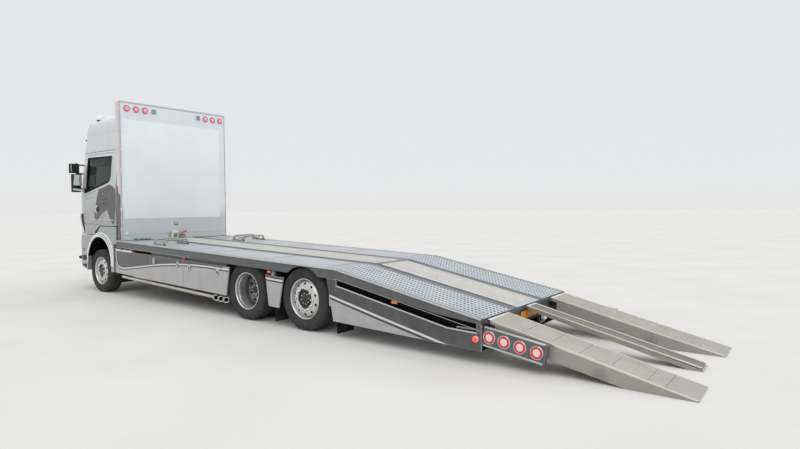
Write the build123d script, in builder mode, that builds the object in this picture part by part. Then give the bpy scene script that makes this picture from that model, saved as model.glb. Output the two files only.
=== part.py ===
from build123d import *
from math import tan, radians, sin, cos
import os

os.makedirs("parts", exist_ok=True)

# Car transporter truck: a rigid three-axle carrier with a tilting sleeper cab,
# a headboard, a low deck that breaks into a beavertail, and lowered ramps.
# Millimetres.  +X is forward, +Y is the truck's left, +Z is up.  The origin is
# on the ground under the middle of the drive axle, which is also the middle
# of the overall length with the ramps down.

# ---------------------------------------------------------------- main sizes
WHEELBASE = 5100            # front axle to drive axle
TAG = 1350                  # drive axle to tag axle
FRONT_X = WHEELBASE
TAG_X = -TAG
HALF_W = 1275               # half the body's width
TYRE_R = 463                # 295/60 R22.5
TYRE_W = 288
RIM_R = 299                 # rim flange
HUB_Z = TYRE_R
FRONT_Y = 1050              # middle of each front tyre
KINGPIN_Y = 905
DUAL_OUT_Y, DUAL_IN_Y = 1096, 766
TAG_Y = 1104

DECK_FRONT_X = 4190
KINK_X = -2007
REAR_X = -4280
KINK_Z, REAR_Z = 940, 512   # deck surface at the break and at the rear edge
RAKE = 0.0335               # deck rises forward by this much
SLOPE = (KINK_Z - REAR_Z) / (KINK_X - REAR_X)
PLATE = 12                  # deck plate
RAIL_H = 140                # side rail height
RAIL_T = 20
BEAM_H = 100                # cross beams under the plate
SKIRT_T = 24
GAP = 55                    # open slot between rail and skirt

HB_REAR, HB_FRONT = 4010, 4185
HB_TOP, HB_HALF = 4000, 1240

CAB_REAR, CAB_FRONT = 4250, 6450
CAB_FLOOR, CAB_TOP, ROOF_TOP = 1250, 3040, 3890
CAB_HALF, CAB_HALF_TOP = 1240, 1160
WALL = 60
WAIST = 2100

RAMP_TIP_X = -6450
RAMP_IN_Y, RAMP_OUT_Y = 660, 1180
RAMP_PIVOT_X, RAMP_PIVOT_Z = -4322, 480


def deck_z(x):
    """Height of the deck surface at a place along the truck."""
    if x >= KINK_X:
        return KINK_Z + (x - KINK_X) * RAKE
    return KINK_Z + (x - KINK_X) * SLOPE


def below(x, d):
    """A point a given depth under the deck surface."""
    return (x, deck_z(x) - d)


def finish(block, label):
    block.part.label = label
    export_step(block.part, "parts/" + label + ".step")


def side_plane(y):
    """Side-view sketch plane at a given y; extrude(amount=t) grows towards -Y."""
    return Plane.XZ.offset(-y)


# ---------------------------------------------------------------- chassis frame
FRAME_OUT, FRAME_IN = 430, 360
frame_top = PLATE + BEAM_H
with BuildPart() as chassis_frame:
    with BuildSketch(side_plane(FRAME_OUT)):
        with BuildLine():
            Polyline(
                (6180, 900), (4600, 900), below(3900, frame_top), below(KINK_X, frame_top),
                below(-4190, frame_top), below(-4190, frame_top + 110), (-3300, 400),
                (-2350, 560), (-1900, 590), (3900, 720), (4600, 620), (6180, 620), close=True)
        make_face()
    extrude(amount=FRAME_OUT - FRAME_IN)
    mirror(about=Plane.XZ)
    # cross members: place along the truck, height of the middle
    for x, z in ((6100, 760), (4350, 740), (3300, 780), (2200, 780), (1100, 760),
                 (600, 740), (-675, 740), (-1900, 700), (-2800, 560), (-3900, 400)):
        with BuildSketch(side_plane(FRAME_IN + 5)) as s:
            with Locations((x, z)):
                Rectangle(80, 120 if x > -3000 else 90)
        extrude(amount=2 * FRAME_IN + 10)
finish(chassis_frame, "chassis_frame")

with BuildPart() as engine_block:
    with BuildSketch(Plane.XY.offset(560)):
        with Locations((5420, 0)):
            Rectangle(1150, 640)
    extrude(amount=600)
    with BuildSketch(Plane.XY.offset(520)):
        with Locations((4640, 0)):
            Rectangle(480, 440)
    extrude(amount=330)
finish(engine_block, "engine_block")

# ---------------------------------------------------------------- axles
with BuildPart() as front_axle:
    with BuildSketch(Plane.YZ.offset(FRONT_X - 45)):
        with BuildLine():
            Polyline((-760, 440), (-560, 350), (560, 350), (760, 440), (880, 440), (880, 520),
                     (720, 520), (540, 440), (-540, 440), (-720, 520), (-880, 520), (-880, 440), close=True)
        make_face()
    extrude(amount=90)
    # kingpin eyes
    with BuildSketch(Plane.XY.offset(400)):
        with Locations((FRONT_X, KINGPIN_Y), (FRONT_X, -KINGPIN_Y)):
            Circle(46)
    extrude(amount=150)
finish(front_axle, "front_axle")


with BuildPart() as drive_axle:
    with BuildSketch(side_plane(590)):
        with Locations((0, HUB_Z)):
            Circle(75)
    extrude(amount=1180)
    with BuildSketch(side_plane(150)):
        with Locations((0, HUB_Z)):
            Circle(205)
    extrude(amount=300)
    # propeller shaft up to the gearbox
    with BuildSketch(Plane((150, 0, HUB_Z + 20), x_dir=(0, 1, 0), z_dir=(4200, 0, 140))):
        Circle(55)
    extrude(amount=4250)
finish(drive_axle, "drive_axle")

with BuildPart() as tag_axle:
    with BuildSketch(side_plane(925)):
        with Locations((TAG_X, HUB_Z)):
            Circle(62)
    extrude(amount=1850)
    with BuildSketch(side_plane(700)):
        with Locations((TAG_X, HUB_Z + 10)):
            Rectangle(190, 110)
    extrude(amount=140)
    with BuildSketch(side_plane(-560)):
        with Locations((TAG_X, HUB_Z + 10)):
            Rectangle(190, 110)
    extrude(amount=140)
finish(tag_axle, "tag_axle")

# leaf springs at the front, air springs and trailing arms at the rear
with BuildPart() as suspension:
    with BuildSketch(side_plane(500)):
        with BuildLine():
            l1 = Line((FRONT_X + 780, 640), (FRONT_X + 780, 610))
            a1 = ThreePointArc((FRONT_X + 780, 610), (FRONT_X, 523), (FRONT_X - 780, 610))
            l2 = Line((FRONT_X - 780, 610), (FRONT_X - 780, 640))
            a2 = ThreePointArc((FRONT_X - 780, 640), (FRONT_X, 568), (FRONT_X + 780, 640))
        make_face()
    extrude(amount=69)
    # air springs: place along the truck, radius, height
    for x, r, h in ((330, 115, 190), (-330, 115, 190), (TAG_X + 300, 100, 170), (TAG_X - 300, 100, 170)):
        with BuildSketch(Plane.XY.offset(386 if x > -700 else 399)):
            with Locations((x, 505)):
                Circle(r * 0.62)
        extrude(amount=h)
    # arms that carry the air springs and clamp the axles
    for x in (0, TAG_X):
        with BuildSketch(side_plane(545)):
            with Locations((x, 361 if x == 0 else 374)):
                Rectangle(820, 52)
        extrude(amount=80)
    mirror(about=Plane.XZ)
finish(suspension, "suspension")

with BuildPart() as tanks:
    # fuel tank between front axle and lockers, air tanks behind it, seen from below
    with BuildSketch(Plane.YZ.offset(3060)):
        with Locations((-760, 640)):
            RectangleRounded(520, 420, 90)
    extrude(amount=900)
    with BuildSketch(Plane.YZ.offset(3060)):
        with Locations((640, 520), (640, 760), (900, 640)):
            Circle(112)
    extrude(amount=900)
finish(tanks, "tanks")

# ---------------------------------------------------------------- deck
ARCH_R = 479
with BuildPart() as deck_frame:
    # side rails, with the arches of the tag wheels cut into them
    with BuildSketch(side_plane(HALF_W)):
        with BuildLine():
            Polyline(below(DECK_FRONT_X, 20), below(KINK_X, 20), below(REAR_X, 20), (REAR_X, 452),
                     (-3650, 516), below(KINK_X, RAIL_H), below(DECK_FRONT_X, RAIL_H), close=True)
        make_face()
        with Locations((TAG_X, HUB_Z)):
            Circle(ARCH_R, mode=Mode.SUBTRACT)
    extrude(amount=RAIL_T)
    # bright top lip
    with BuildSketch(side_plane(HALF_W)):
        with BuildLine():
            Polyline(below(DECK_FRONT_X, 0), below(KINK_X, 0), below(REAR_X, 0),
                     below(REAR_X, 20), below(KINK_X, 20), below(DECK_FRONT_X, 20), close=True)
        make_face()
    extrude(amount=75)
    mirror(about=Plane.XZ)
    # cross beams between the side rails: place, half width
    for x, half in ((4140, 1257), (3650, 1257), (3000, 1257), (2350, 1257), (1700, 1257), (1050, 1257),
                    (560, 1257), (0, 560), (-675, 1257), (TAG_X, 560), (-1900, 1257)):
        with BuildSketch(side_plane(half)):
            with BuildLine():
                Polyline(below(x + 35, PLATE), below(x - 35, PLATE),
                         below(x - 35, PLATE + BEAM_H), below(x + 35, PLATE + BEAM_H), close=True)
            make_face()
        extrude(amount=2 * half)
    for x in (-2600, -3300):
        with BuildSketch(side_plane(1257)):
            with BuildLine():
                Polyline(below(x + 35, PLATE), below(x - 35, PLATE),
                         below(x - 35, PLATE + 85), below(x + 35, PLATE + 85), close=True)
            make_face()
        extrude(amount=2514)
    # cheeks that hold the ramp heads: inner y of each pair
    for y in (RAMP_OUT_Y + 8, RAMP_IN_Y - 20, 138, -150, -RAMP_OUT_Y - 20, -RAMP_IN_Y + 8):
        with BuildSketch(side_plane(y + 12)):
            with BuildLine():
                Polyline((REAR_X + 10, 500), (-4322, 496), (-4334, 480), (-4322, 462), (REAR_X + 10, 456), close=True)
            make_face()
        extrude(amount=12)
    # hinge pins of the ramp heads: inner y, outer y
    for y0, y1 in ((RAMP_OUT_Y - 30, RAMP_OUT_Y + 20), (RAMP_IN_Y - 20, RAMP_IN_Y + 30), (105, 150),
                   (-150, -105), (-RAMP_OUT_Y - 20, -RAMP_OUT_Y + 30), (-RAMP_IN_Y - 30, -RAMP_IN_Y + 20)):
        with BuildSketch(side_plane(y1)):
            with Locations((RAMP_PIVOT_X, RAMP_PIVOT_Z)):
                Circle(9)
        extrude(amount=y1 - y0)
    # rear cross beam, with the blank number plate on it
    for half, z in ((1249, 300), (1257, 462)):
        with BuildSketch(side_plane(half)):
            with BuildLine():
                Polyline(below(-4200, PLATE), below(REAR_X, PLATE), (REAR_X, z), (-4200, z), close=True)
            make_face()
        extrude(amount=2 * half)
finish(deck_frame, "deck_frame")

# side tracks lie between the lips; the centre track between them
TRACK_OUT, TRACK_IN, MID_HALF = 1199, 500, 330
with BuildPart() as deck_side_tracks:
    with BuildSketch(side_plane(TRACK_OUT)):
        with BuildLine():
            Polyline(below(HB_REAR - 1, 0), below(KINK_X, 0), below(REAR_X, 0),
                     below(REAR_X, PLATE), below(KINK_X, PLATE), below(HB_REAR - 1, PLATE), close=True)
        make_face()
    extrude(amount=TRACK_OUT - TRACK_IN)
    mirror(about=Plane.XZ)
finish(deck_side_tracks, "deck_side_tracks")

with BuildPart() as deck_centre_track:
    with BuildSketch(side_plane(TRACK_IN - 1)):
        with BuildLine():
            Polyline(below(HB_REAR - 1, 6), below(KINK_X, 6), below(REAR_X, 6),
                     below(REAR_X, PLATE), below(KINK_X, PLATE), below(HB_REAR - 1, PLATE), close=True)
        make_face()
    extrude(amount=2 * (TRACK_IN - 1))
    with BuildSketch(side_plane(MID_HALF)):
        with BuildLine():
            Polyline(below(HB_REAR - 1, -4), below(KINK_X, -4), below(REAR_X, -4),
                     below(REAR_X, 8), below(KINK_X, 8), below(HB_REAR - 1, 8), close=True)
        make_face()
    extrude(amount=2 * MID_HALF)
finish(deck_centre_track, "deck_centre_track")

with BuildPart() as headboard:
    with BuildSketch(Plane.YZ.offset(HB_REAR)):
        with Locations((0, (HB_TOP + deck_z(HB_FRONT)) / 2)):
            Rectangle(2 * HB_HALF, HB_TOP - deck_z(HB_FRONT))
    extrude(amount=HB_FRONT - HB_REAR)
finish(headboard, "headboard")

# tube-frame wheel stops standing on the side tracks: place, side
with BuildPart() as wheel_stops:
    for x, s, y_in, y_out in ((2750, 1, 660, 1140), (2670, -1, 600, 1140)):
        for dx in (-155, 155):
            z0 = deck_z(x + dx) + 18.5
            pts = [(x + dx, s * y_in, z0), (x + dx, s * y_in, z0 + 80),
                   (x + dx, s * y_out, z0 + 80), (x + dx, s * y_out, z0)]
            with BuildLine() as w:
                FilletPolyline(*pts, radius=40)
            with BuildSketch(Plane(pts[0], x_dir=(1, 0, 0), z_dir=(0, 0, 1))):
                Circle(17)
            sweep(path=w.wires()[0])
        z_a, z_b = deck_z(x - 185) + 18.5, deck_z(x + 185) + 18.5
        for y in (y_in, y_out):
            with BuildSketch(Plane((x - 185, s * y, z_a), x_dir=(0, 1, 0), z_dir=(370, 0, z_b - z_a))):
                Circle(17)
            extrude(amount=370)
finish(wheel_stops, "wheel_stops")

# ---------------------------------------------------------------- side skirts
SK_TOP, SK_BOT = RAIL_H + GAP, 670
LOCK_X = (2866, 1740, 470)          # front edge, middle seam, rear edge of the locker doors
SEAM = 8
with BuildPart() as side_skirts:
    # front panel with its rounded nose
    with BuildSketch(side_plane(HALF_W)):
        with BuildLine():
            Polyline(below(4232, RAIL_H + 22), below(3560, RAIL_H + 22), below(3520, SK_TOP),
                     below(LOCK_X[0] + SEAM, SK_TOP), below(LOCK_X[0] + SEAM, SK_BOT), below(4232, SK_BOT - 10),
                     close=True)
        make_face()
    extrude(amount=SKIRT_T)
    # infill between drive and tag wheels
    with BuildSketch(side_plane(HALF_W)):
        with BuildLine():
            Polyline((-538, 770), (-944, 750), (-838, 284), (-608, 292), close=True)
        make_face()
    extrude(amount=SKIRT_T)
    # rear skirt with the long wedge-shaped opening under the rail
    with BuildSketch(side_plane(HALF_W)):
        with BuildLine():
            Polyline(below(-1852, RAIL_H + 1), below(KINK_X, RAIL_H + 1), (-3650, 515), (REAR_X, 451), (REAR_X, 150),
                     (-3900, 163), (-1975, 220), close=True)
        make_face()
        with BuildLine():
            Polyline((-2032, 870), (-2032, 708), (-3831, 359), (-4225, 347), (-4225, 520), close=True)
        make_face(mode=Mode.SUBTRACT)
    extrude(amount=SKIRT_T)
    # stays that carry the panels from the cross beams: place, top, bottom
    for x, zt, zb in ((3650, deck_z(3625) - PLATE - BEAM_H, 560), (-675, deck_z(-700) - PLATE - BEAM_H, 330),
                      (-1900, deck_z(-1925) - PLATE - BEAM_H, 420)):
        with BuildSketch(Plane.XY.offset(zb)):
            with Locations((x, HALF_W - SKIRT_T - 25)):
                Rectangle(50, 50)
        extrude(amount=zt - zb)
    mirror(about=Plane.XZ)
finish(side_skirts, "side_skirts")

# open lockers behind the doors
BOX_IN = 880
with BuildPart() as locker_boxes:
    for x0, x1 in ((LOCK_X[0] - 4, LOCK_X[1] + 6), (LOCK_X[1] - 6, LOCK_X[2] + 20)):
        with BuildSketch(side_plane(HALF_W - SKIRT_T - 8)):
            with BuildLine():
                Polyline(below(x0, PLATE + BEAM_H + 2), below(x1, PLATE + BEAM_H + 2),
                         below(x1, SK_BOT - 18), below(x0, SK_BOT - 18), close=True)
            make_face()
        extrude(amount=HALF_W - SKIRT_T - 8 - BOX_IN)
        with BuildSketch(side_plane(HALF_W)):
            with BuildLine():
                Polyline(below(x0 - 16, SK_TOP + 10), below(x1 + 16, SK_TOP + 10),
                         below(x1 + 16, SK_BOT - 34), below(x0 - 16, SK_BOT - 34), close=True)
            make_face()
        extrude(amount=HALF_W - BOX_IN - 16, mode=Mode.SUBTRACT)
    mirror(about=Plane.XZ)
finish(locker_boxes, "locker_boxes")

# drop-down locker doors: name, front edge, rear edge
for tag, x0, x1 in (("front", LOCK_X[0], LOCK_X[1] + SEAM / 2), ("rear", LOCK_X[1] - SEAM / 2, LOCK_X[2])):
    for side, sgn in (("left", 1), ("right", -1)):
        y0 = HALF_W if sgn > 0 else -(HALF_W - SKIRT_T)
        slant = 90 if tag == "rear" else 0
        with BuildPart() as locker_door:
            with BuildSketch(side_plane(y0)):
                with BuildLine():
                    Polyline(below(x0, SK_TOP), below(x1 - slant, SK_TOP), below(x1, SK_BOT), below(x0, SK_BOT),
                             close=True)
                make_face()
            extrude(amount=SKIRT_T)
        finish(locker_door, "locker_door_" + tag + "_" + side)

# rubber flaps behind the wheels: place of the top, top, bottom, inner y, outer y
with BuildPart() as mudflaps:
    for x, zt, zb, y0, y1 in ((4415, 600, 250, 840, 1150), (-690, 560, 60, 625, 1190), (-1985, 560, 45, 905, 1190)):
        with BuildSketch(side_plane(y1)):
            with BuildLine():
                Polyline((x, zt), (x - 12, zt), (x - 42, zb), (x - 30, zb), close=True)
            make_face()
        extrude(amount=y1 - y0)
    mirror(about=Plane.XZ)
finish(mudflaps, "mudflaps")

# side pipe under each skirt, with three turned-out ends
PIPE_Y, PIPE_R = 1205, 36
with BuildPart() as side_pipes:
    with BuildSketch(Plane((4060, PIPE_Y, 413), x_dir=(0, 1, 0), z_dir=(-3515, 0, -138))):
        Circle(PIPE_R)
    extrude(amount=3480)
    for x, z in ((820, 284), (680, 277), (540, 271)):
        with BuildSketch(Plane((x + 45, PIPE_Y - 25, z + 1), x_dir=(0, 0, 1), z_dir=(-1, 0.9, 0))):
            Circle(42)
        extrude(amount=92)
        with BuildSketch(Plane((x + 45, PIPE_Y - 25, z + 1), x_dir=(0, 0, 1), z_dir=(-1, 0.9, 0))):
            Circle(37)
        extrude(amount=120, mode=Mode.SUBTRACT)
    mirror(about=Plane.XZ)
finish(side_pipes, "side_pipes")

# ---------------------------------------------------------------- wheels
def tyre_profile(r_in, r_out, w):
    """Half section of a truck tyre in (y, r), symmetric about y = 0."""
    h = w / 2
    return [(-106, r_in), (-107, r_in + 16), (-122, r_in + 20), (-h + 4, r_in + 45), (-h, r_in + 95), (-h + 8, r_out - 28), (-h + 30, r_out - 3),
            (0, r_out), (h - 30, r_out - 3), (h - 8, r_out - 28), (h, r_in + 95), (h - 4, r_in + 45),
            (122, r_in + 20), (107, r_in + 16), (106, r_in)]


RIM_SEAT = 286
# section of a rim with its disc: (offset from the middle of the tyre, outwards, radius)
SINGLE_RIM = [(-120, 299), (-120, 284), (-60, 262), (40, 262), (62, 245), (92, 232), (100, 150), (100, 92), (118, 92),
              (118, 160), (112, 240), (120, 284), (120, 299), (110, 299), (108, 285.5), (-108, 285.5), (-110, 299)]
# station: name, x, side, list of tyre middles, which rim, height
stations = []
for side, sgn in (("left", 1), ("right", -1)):
    stations += [("front_wheel_" + side, FRONT_X, sgn, (FRONT_Y,), "single"),
                 ("drive_wheels_" + side, 0, sgn, (DUAL_OUT_Y, DUAL_IN_Y), "dual"),
                 ("tag_wheel_" + side, TAG_X, sgn, (TAG_Y,), "single")]

for name, x, sgn, mids, kind in stations:
    axis = Axis((x, 0, HUB_Z), (0, 1, 0))
    with BuildPart() as tyre:
        for m in mids:
            pts = [(x + r, sgn * (m + y), HUB_Z) for y, r in tyre_profile(RIM_SEAT, TYRE_R, TYRE_W)]
            with BuildSketch(Plane.XY.offset(HUB_Z)):
                with BuildLine():
                    Polyline(*[(p[0], p[1]) for p in pts], close=True)
                make_face()
            revolve(axis=axis)
    finish(tyre, name + "_tyre")
    with BuildPart() as rim:
        if kind == "single":
            m = mids[0]
            with BuildSketch(Plane.XY.offset(HUB_Z)):
                with BuildLine():
                    Polyline(*[(x + r, sgn * (m + y)) for y, r in SINGLE_RIM], close=True)
                make_face()
            revolve(axis=axis)
            # hub in the middle of the disc
            with BuildSketch(side_plane(sgn * (m + 117) if sgn > 0 else -(m - 12))):
                with Locations((x, HUB_Z)):
                    Circle(93)
            extrude(amount=129)
        else:
            a, b = mids
            mid = (a + b) / 2
            # outer rim barrel, dished inwards to the shared disc; inner rim the other way
            section = [(a + 120, 299), (a + 110, 299), (a + 108, 285.5), (a - 108, 285.5), (a - 110, 299),
                       (b + 110, 299), (b + 108, 285.5), (b - 108, 285.5), (b - 110, 299), (b - 120, 299),
                       (b - 120, 284), (b - 60, 262), (mid - 30, 262), (mid - 14, 240), (mid - 14, 92),
                       (mid + 14, 92), (mid + 14, 240), (mid + 40, 262), (a + 60, 262), (a + 120, 284)]
            with BuildSketch(Plane.XY.offset(HUB_Z)):
                with BuildLine():
                    Polyline(*[(x + r, sgn * y) for y, r in section], close=True)
                make_face()
            revolve(axis=axis)
            # hub and half shaft cover
            with BuildSketch(side_plane(sgn * (mid + 125) if sgn > 0 else -(mid - 60))):
                with Locations((x, HUB_Z)):
                    Circle(93)
            extrude(amount=185)
    finish(rim, name + "_rim")

# steering knuckle: stub axle and fork round the kingpin eye
for side, sgn in (("left", 1), ("right", -1)):
    with BuildPart() as knuckle:
        # forks above and below the axle eye, joined outboard of it
        for z, t in ((351, 45), (554, 40)):
            with BuildSketch(Plane.XY.offset(z)):
                with Locations((FRONT_X, sgn * 925)):
                    Rectangle(110, 140)
            extrude(amount=t)
        with BuildSketch(Plane.XY.offset(351)):
            with Locations((FRONT_X, sgn * 978)):
                Rectangle(130, 44)
        extrude(amount=243)
        with BuildSketch(side_plane(1034 if sgn > 0 else -990)):
            with Locations((FRONT_X, HUB_Z)):
                Circle(52)
        extrude(amount=44)
    finish(knuckle, "knuckle_" + side)

# ---------------------------------------------------------------- cab shell
# The cab is a body cut by three outlines: side, front and plan.  The same
# outlines moved inwards give the inside, the glass line and the door.
def corner_plan(i, shift, z, nose=6450):
    """Outline from above at height z, moved rearwards by shift, walls inwards by i."""
    with BuildSketch(Plane.XY.offset(z), mode=Mode.PRIVATE) as plan:
        with BuildLine():
            for g in (1, -1):
                Line((3600 - shift, g * (CAB_HALF - i)), (5700 - shift, g * (CAB_HALF - i)))
                ThreePointArc((5700 - shift, g * (CAB_HALF - i)), (6140 - shift - i * 0.7, g * (1080 - i * 0.7)),
                              (6390 - shift - i, g * 700))
            ThreePointArc((6390 - shift - i, 700), (nose - shift - i, 0), (6390 - shift - i, -700))
            Line((3600 - shift, CAB_HALF - i), (3600 - shift, i - CAB_HALF))
        make_face()
    return plan.sketch.faces()[0]


LEAN = 0.2603           # the windscreen's corners lean back by this much per unit of height


def cab_solid(inset, z_bottom, z_top):
    """The cab's volume with every wall moved inwards by inset."""
    i = inset
    z0 = z_bottom - 10
    height = z_top - z0 + 10
    with BuildPart() as b:
        with BuildSketch(side_plane(1400)):
            with BuildLine():
                Line((CAB_REAR + i, z_top), (CAB_REAR + i, z_bottom))
                Line((CAB_REAR + i, z_bottom), (6425 - i, z_bottom))
                ThreePointArc((6425 - i, z_bottom), (6450 - i, 1650), (6425 - i, 2100))
                ThreePointArc((6425 - i, 2100), (6330 - i, 2580), (6180 - i, z_top))
                Line((6180 - i, z_top), (CAB_REAR + i, z_top))
            make_face()
        extrude(amount=2800)
        with BuildSketch(Plane.YZ.offset(4000)):
            with BuildLine():
                Line((-CAB_HALF + i, z_bottom), (CAB_HALF - i, z_bottom))
                Line((CAB_HALF - i, z_bottom), (CAB_HALF - i, 1850))
                ThreePointArc((CAB_HALF - i, 1850), (CAB_HALF - 20 - i, 2450), (CAB_HALF_TOP - i, z_top))
                Line((CAB_HALF_TOP - i, z_top), (-CAB_HALF_TOP + i, z_top))
                ThreePointArc((-CAB_HALF_TOP + i, z_top), (-CAB_HALF + 20 + i, 2450), (-CAB_HALF + i, 1850))
                Line((-CAB_HALF + i, 1850), (-CAB_HALF + i, z_bottom))
            make_face()
        extrude(amount=2700, mode=Mode.INTERSECT)
        # rounded front corners, upright up to the window line and leaning back above it
        add(Solid.extrude(corner_plan(i, 0, z0), Vector(0, 0, height)), mode=Mode.INTERSECT)
        add(Solid.extrude(corner_plan(i, -LEAN * (2100 - z0), z0, 6480), Vector(-LEAN * height, 0, height)),
            mode=Mode.INTERSECT)
    return b.part


cab_out = cab_solid(0, CAB_FLOOR, CAB_TOP)
cab_glass_out = cab_solid(16, CAB_FLOOR + 1, CAB_TOP)
cab_glass_in = cab_solid(24, CAB_FLOOR + 1, CAB_TOP)
cab_in = cab_solid(WALL, CAB_FLOOR + WALL, CAB_TOP)

DOOR = [(5668, 1480), (5668, 2985), (4418, 2985), (4418, 2300), (4490, 2150), (4880, 1560), (4940, 1480)]
WINDOW = [(5598, 2165), (5598, 2925), (4490, 2905), (4490, 2480), (4530, 2400), (4600, 2362)]
DOOR_GAP = 7
# the door's outline with a gap all round
DOOR_HOLE = [(5668 + DOOR_GAP, 1480 - DOOR_GAP), (5668 + DOOR_GAP, 2985 + DOOR_GAP), (4418 - 13, 2985 + DOOR_GAP),
             (4407, 2297), (4481, 2145), (4874, 1553), (4934, 1480 - DOOR_GAP)]


def side_prism(points, y_from, depth):
    with BuildPart() as b:
        with BuildSketch(side_plane(y_from)):
            with BuildLine():
                Polyline(*points, close=True)
            make_face()
        extrude(amount=depth)
    return b.part


with BuildPart() as screen_zone:
    with BuildSketch(side_plane(1068)):
        with BuildLine():
            Polyline((5850, 2190), (6600, 2190), (6600, 2920), (5850, 2920), close=True)
        make_face()
    extrude(amount=2136)
screen_cut = screen_zone.part

with BuildPart() as panel_zone:
    with BuildSketch(Plane.YZ.offset(6200)):
        with BuildLine():
            Polyline((-905, 1240), (905, 1240), (905, 2140), (-905, 2140), close=True)
        make_face()
    extrude(amount=400)
panel_cut = panel_zone.part

with BuildPart() as cab_body:
    add(cab_out)
    add(cab_in, mode=Mode.SUBTRACT)
    add(screen_cut, mode=Mode.SUBTRACT)
    for y_from in (1400, -1000):
        add(side_prism(DOOR_HOLE, y_from, 400), mode=Mode.SUBTRACT)
    # the lower edge rises over the wheel: the outer skin is cut back for the fender's crown
    for y_from in (1300, -1201):
        add(side_prism([(4200, 1200), (4200, 1447), (5004, 1447), (5213, 1317), (5240, 1200)], y_from, 99),
            mode=Mode.SUBTRACT)
    # lugs under the floor that turn on the tilt pins
    for y in (478, -458):
        with BuildSketch(side_plane(y)):
            with BuildLine():
                Polyline((6290, CAB_FLOOR + 5), (6366, CAB_FLOOR + 5), (6356, 1200), (6300, 1200), close=True)
            make_face()
            with Locations((6328, 1200)):
                Circle(28)
                Circle(16.05, mode=Mode.SUBTRACT)
        extrude(amount=20)
    # the grille panel is a piece of its own in front of the wall
    add(panel_cut & (cab_out - cab_solid(30, CAB_FLOOR - 5, CAB_TOP)), mode=Mode.SUBTRACT)
finish(cab_body, "cab_body")

with BuildPart() as front_panel:
    add(cab_out - cab_solid(29, CAB_FLOOR - 5, CAB_TOP))
    with BuildSketch(Plane.YZ.offset(6200)):
        with BuildLine():
            Polyline((-900, 1246), (900, 1246), (900, 2135), (-900, 2135), close=True)
        make_face()
    extrude(amount=400, mode=Mode.INTERSECT)
finish(front_panel, "front_panel")

with BuildPart() as windscreen:
    add(cab_glass_out - cab_glass_in)
    add(screen_cut, mode=Mode.INTERSECT)
finish(windscreen, "windscreen")

for side, sgn in (("left", 1), ("right", -1)):
    y_from = 1400 if sgn > 0 else -1000
    with BuildPart() as door:
        add(cab_out - cab_in)
        add(side_prism(DOOR, y_from, 400), mode=Mode.INTERSECT)
        add(side_prism(WINDOW, y_from, 400), mode=Mode.SUBTRACT)
    finish(door, "door_" + side)
    with BuildPart() as glass:
        add(cab_glass_out - cab_glass_in)
        add(side_prism(WINDOW, y_from, 400), mode=Mode.INTERSECT)
    finish(glass, "door_glass_" + side)

# high roof
def roof_solid(i, z_bottom):
    z0 = z_bottom - 10
    with BuildPart() as b:
        with BuildSketch(side_plane(1400)):
            with BuildLine():
                Line((CAB_REAR + i, 3885 - i), (CAB_REAR + i, z_bottom))
                Line((CAB_REAR + i, z_bottom), (6178 - i, z_bottom))
                Line((6178 - i, z_bottom), (6110 - i, 3200))
                ThreePointArc((6110 - i, 3200), (5920 - i * 0.8, 3430 - i * 0.7), (5620 - i * 0.5, 3600 - i))
                ThreePointArc((5620 - i * 0.5, 3600 - i), (5150, 3768 - i), (4600, 3868 - i))
                Line((4600, 3868 - i), (CAB_REAR + i, 3885 - i))
            make_face()
        extrude(amount=2800)
        with BuildSketch(Plane.YZ.offset(4000)):
            with BuildLine():
                Line((-1158 + i, z_bottom), (1158 - i, z_bottom))
                Line((1158 - i, z_bottom), (1140 - i, 3400))
                ThreePointArc((1140 - i, 3400), (1085 - i * 0.8, 3700 - i * 0.6), (900 - i * 0.4, 3845 - i))
                ThreePointArc((900 - i * 0.4, 3845 - i), (0, ROOF_TOP - i), (-900 + i * 0.4, 3845 - i))
                ThreePointArc((-900 + i * 0.4, 3845 - i), (-1085 + i * 0.8, 3700 - i * 0.6), (-1140 + i, 3400))
                Line((-1140 + i, 3400), (-1158 + i, z_bottom))
            make_face()
        extrude(amount=2700, mode=Mode.INTERSECT)
        add(Solid.extrude(corner_plan(i, 245 + 0.3 * (z0 - 3041), z0), Vector(-0.3 * 900, 0, 900)), mode=Mode.INTERSECT)
    return b.part


roof_out = roof_solid(0, CAB_TOP + 1)
roof_in = roof_solid(WALL, CAB_TOP - 5)
with BuildPart() as cab_roof:
    add(roof_out)
    add(roof_in, mode=Mode.SUBTRACT)
finish(cab_roof, "cab_roof")

# ---------------------------------------------------------------- cab inside
FLOOR_TOP = CAB_FLOOR + WALL
with BuildPart() as dashboard:
    with BuildSketch(side_plane(1080)):
        with BuildLine():
            Polyline((6240, 1750), (6330, 1950), (6320, 2120), (6080, 2150), (5980, 2080), (5960, 1900), (6060, 1720),
                     close=True)
        make_face()
    extrude(amount=2160)
    # engine tunnel cover between the seats
    with BuildSketch(Plane.XY.offset(FLOOR_TOP)):
        with Locations((5500, 0)):
            Rectangle(900, 560)
    extrude(amount=150)
    # steering wheel and column on the left
    with BuildSketch(Plane((5820, 560, 2080), x_dir=(0, 1, 0), z_dir=(-0.5, 0, 0.87))):
        Circle(225)
        Circle(190, mode=Mode.SUBTRACT)
        Rectangle(400, 40)
    extrude(amount=28)
    with BuildSketch(Plane((5820, 560, 2080), x_dir=(0, 1, 0), z_dir=(0.5, 0, -0.87))):
        Circle(45)
    extrude(amount=300)
    with BuildSketch(side_plane(600)):
        with BuildLine():
            Polyline((6060, 1720), (6060, 1950), (5930, 1880), (5930, 1790), close=True)
        make_face()
    extrude(amount=80)
dashboard_part = dashboard.part & cab_solid(WALL + 3, FLOOR_TOP, CAB_TOP)
dashboard_part.label = "dashboard"
export_step(dashboard_part, "parts/dashboard.step")

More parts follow.
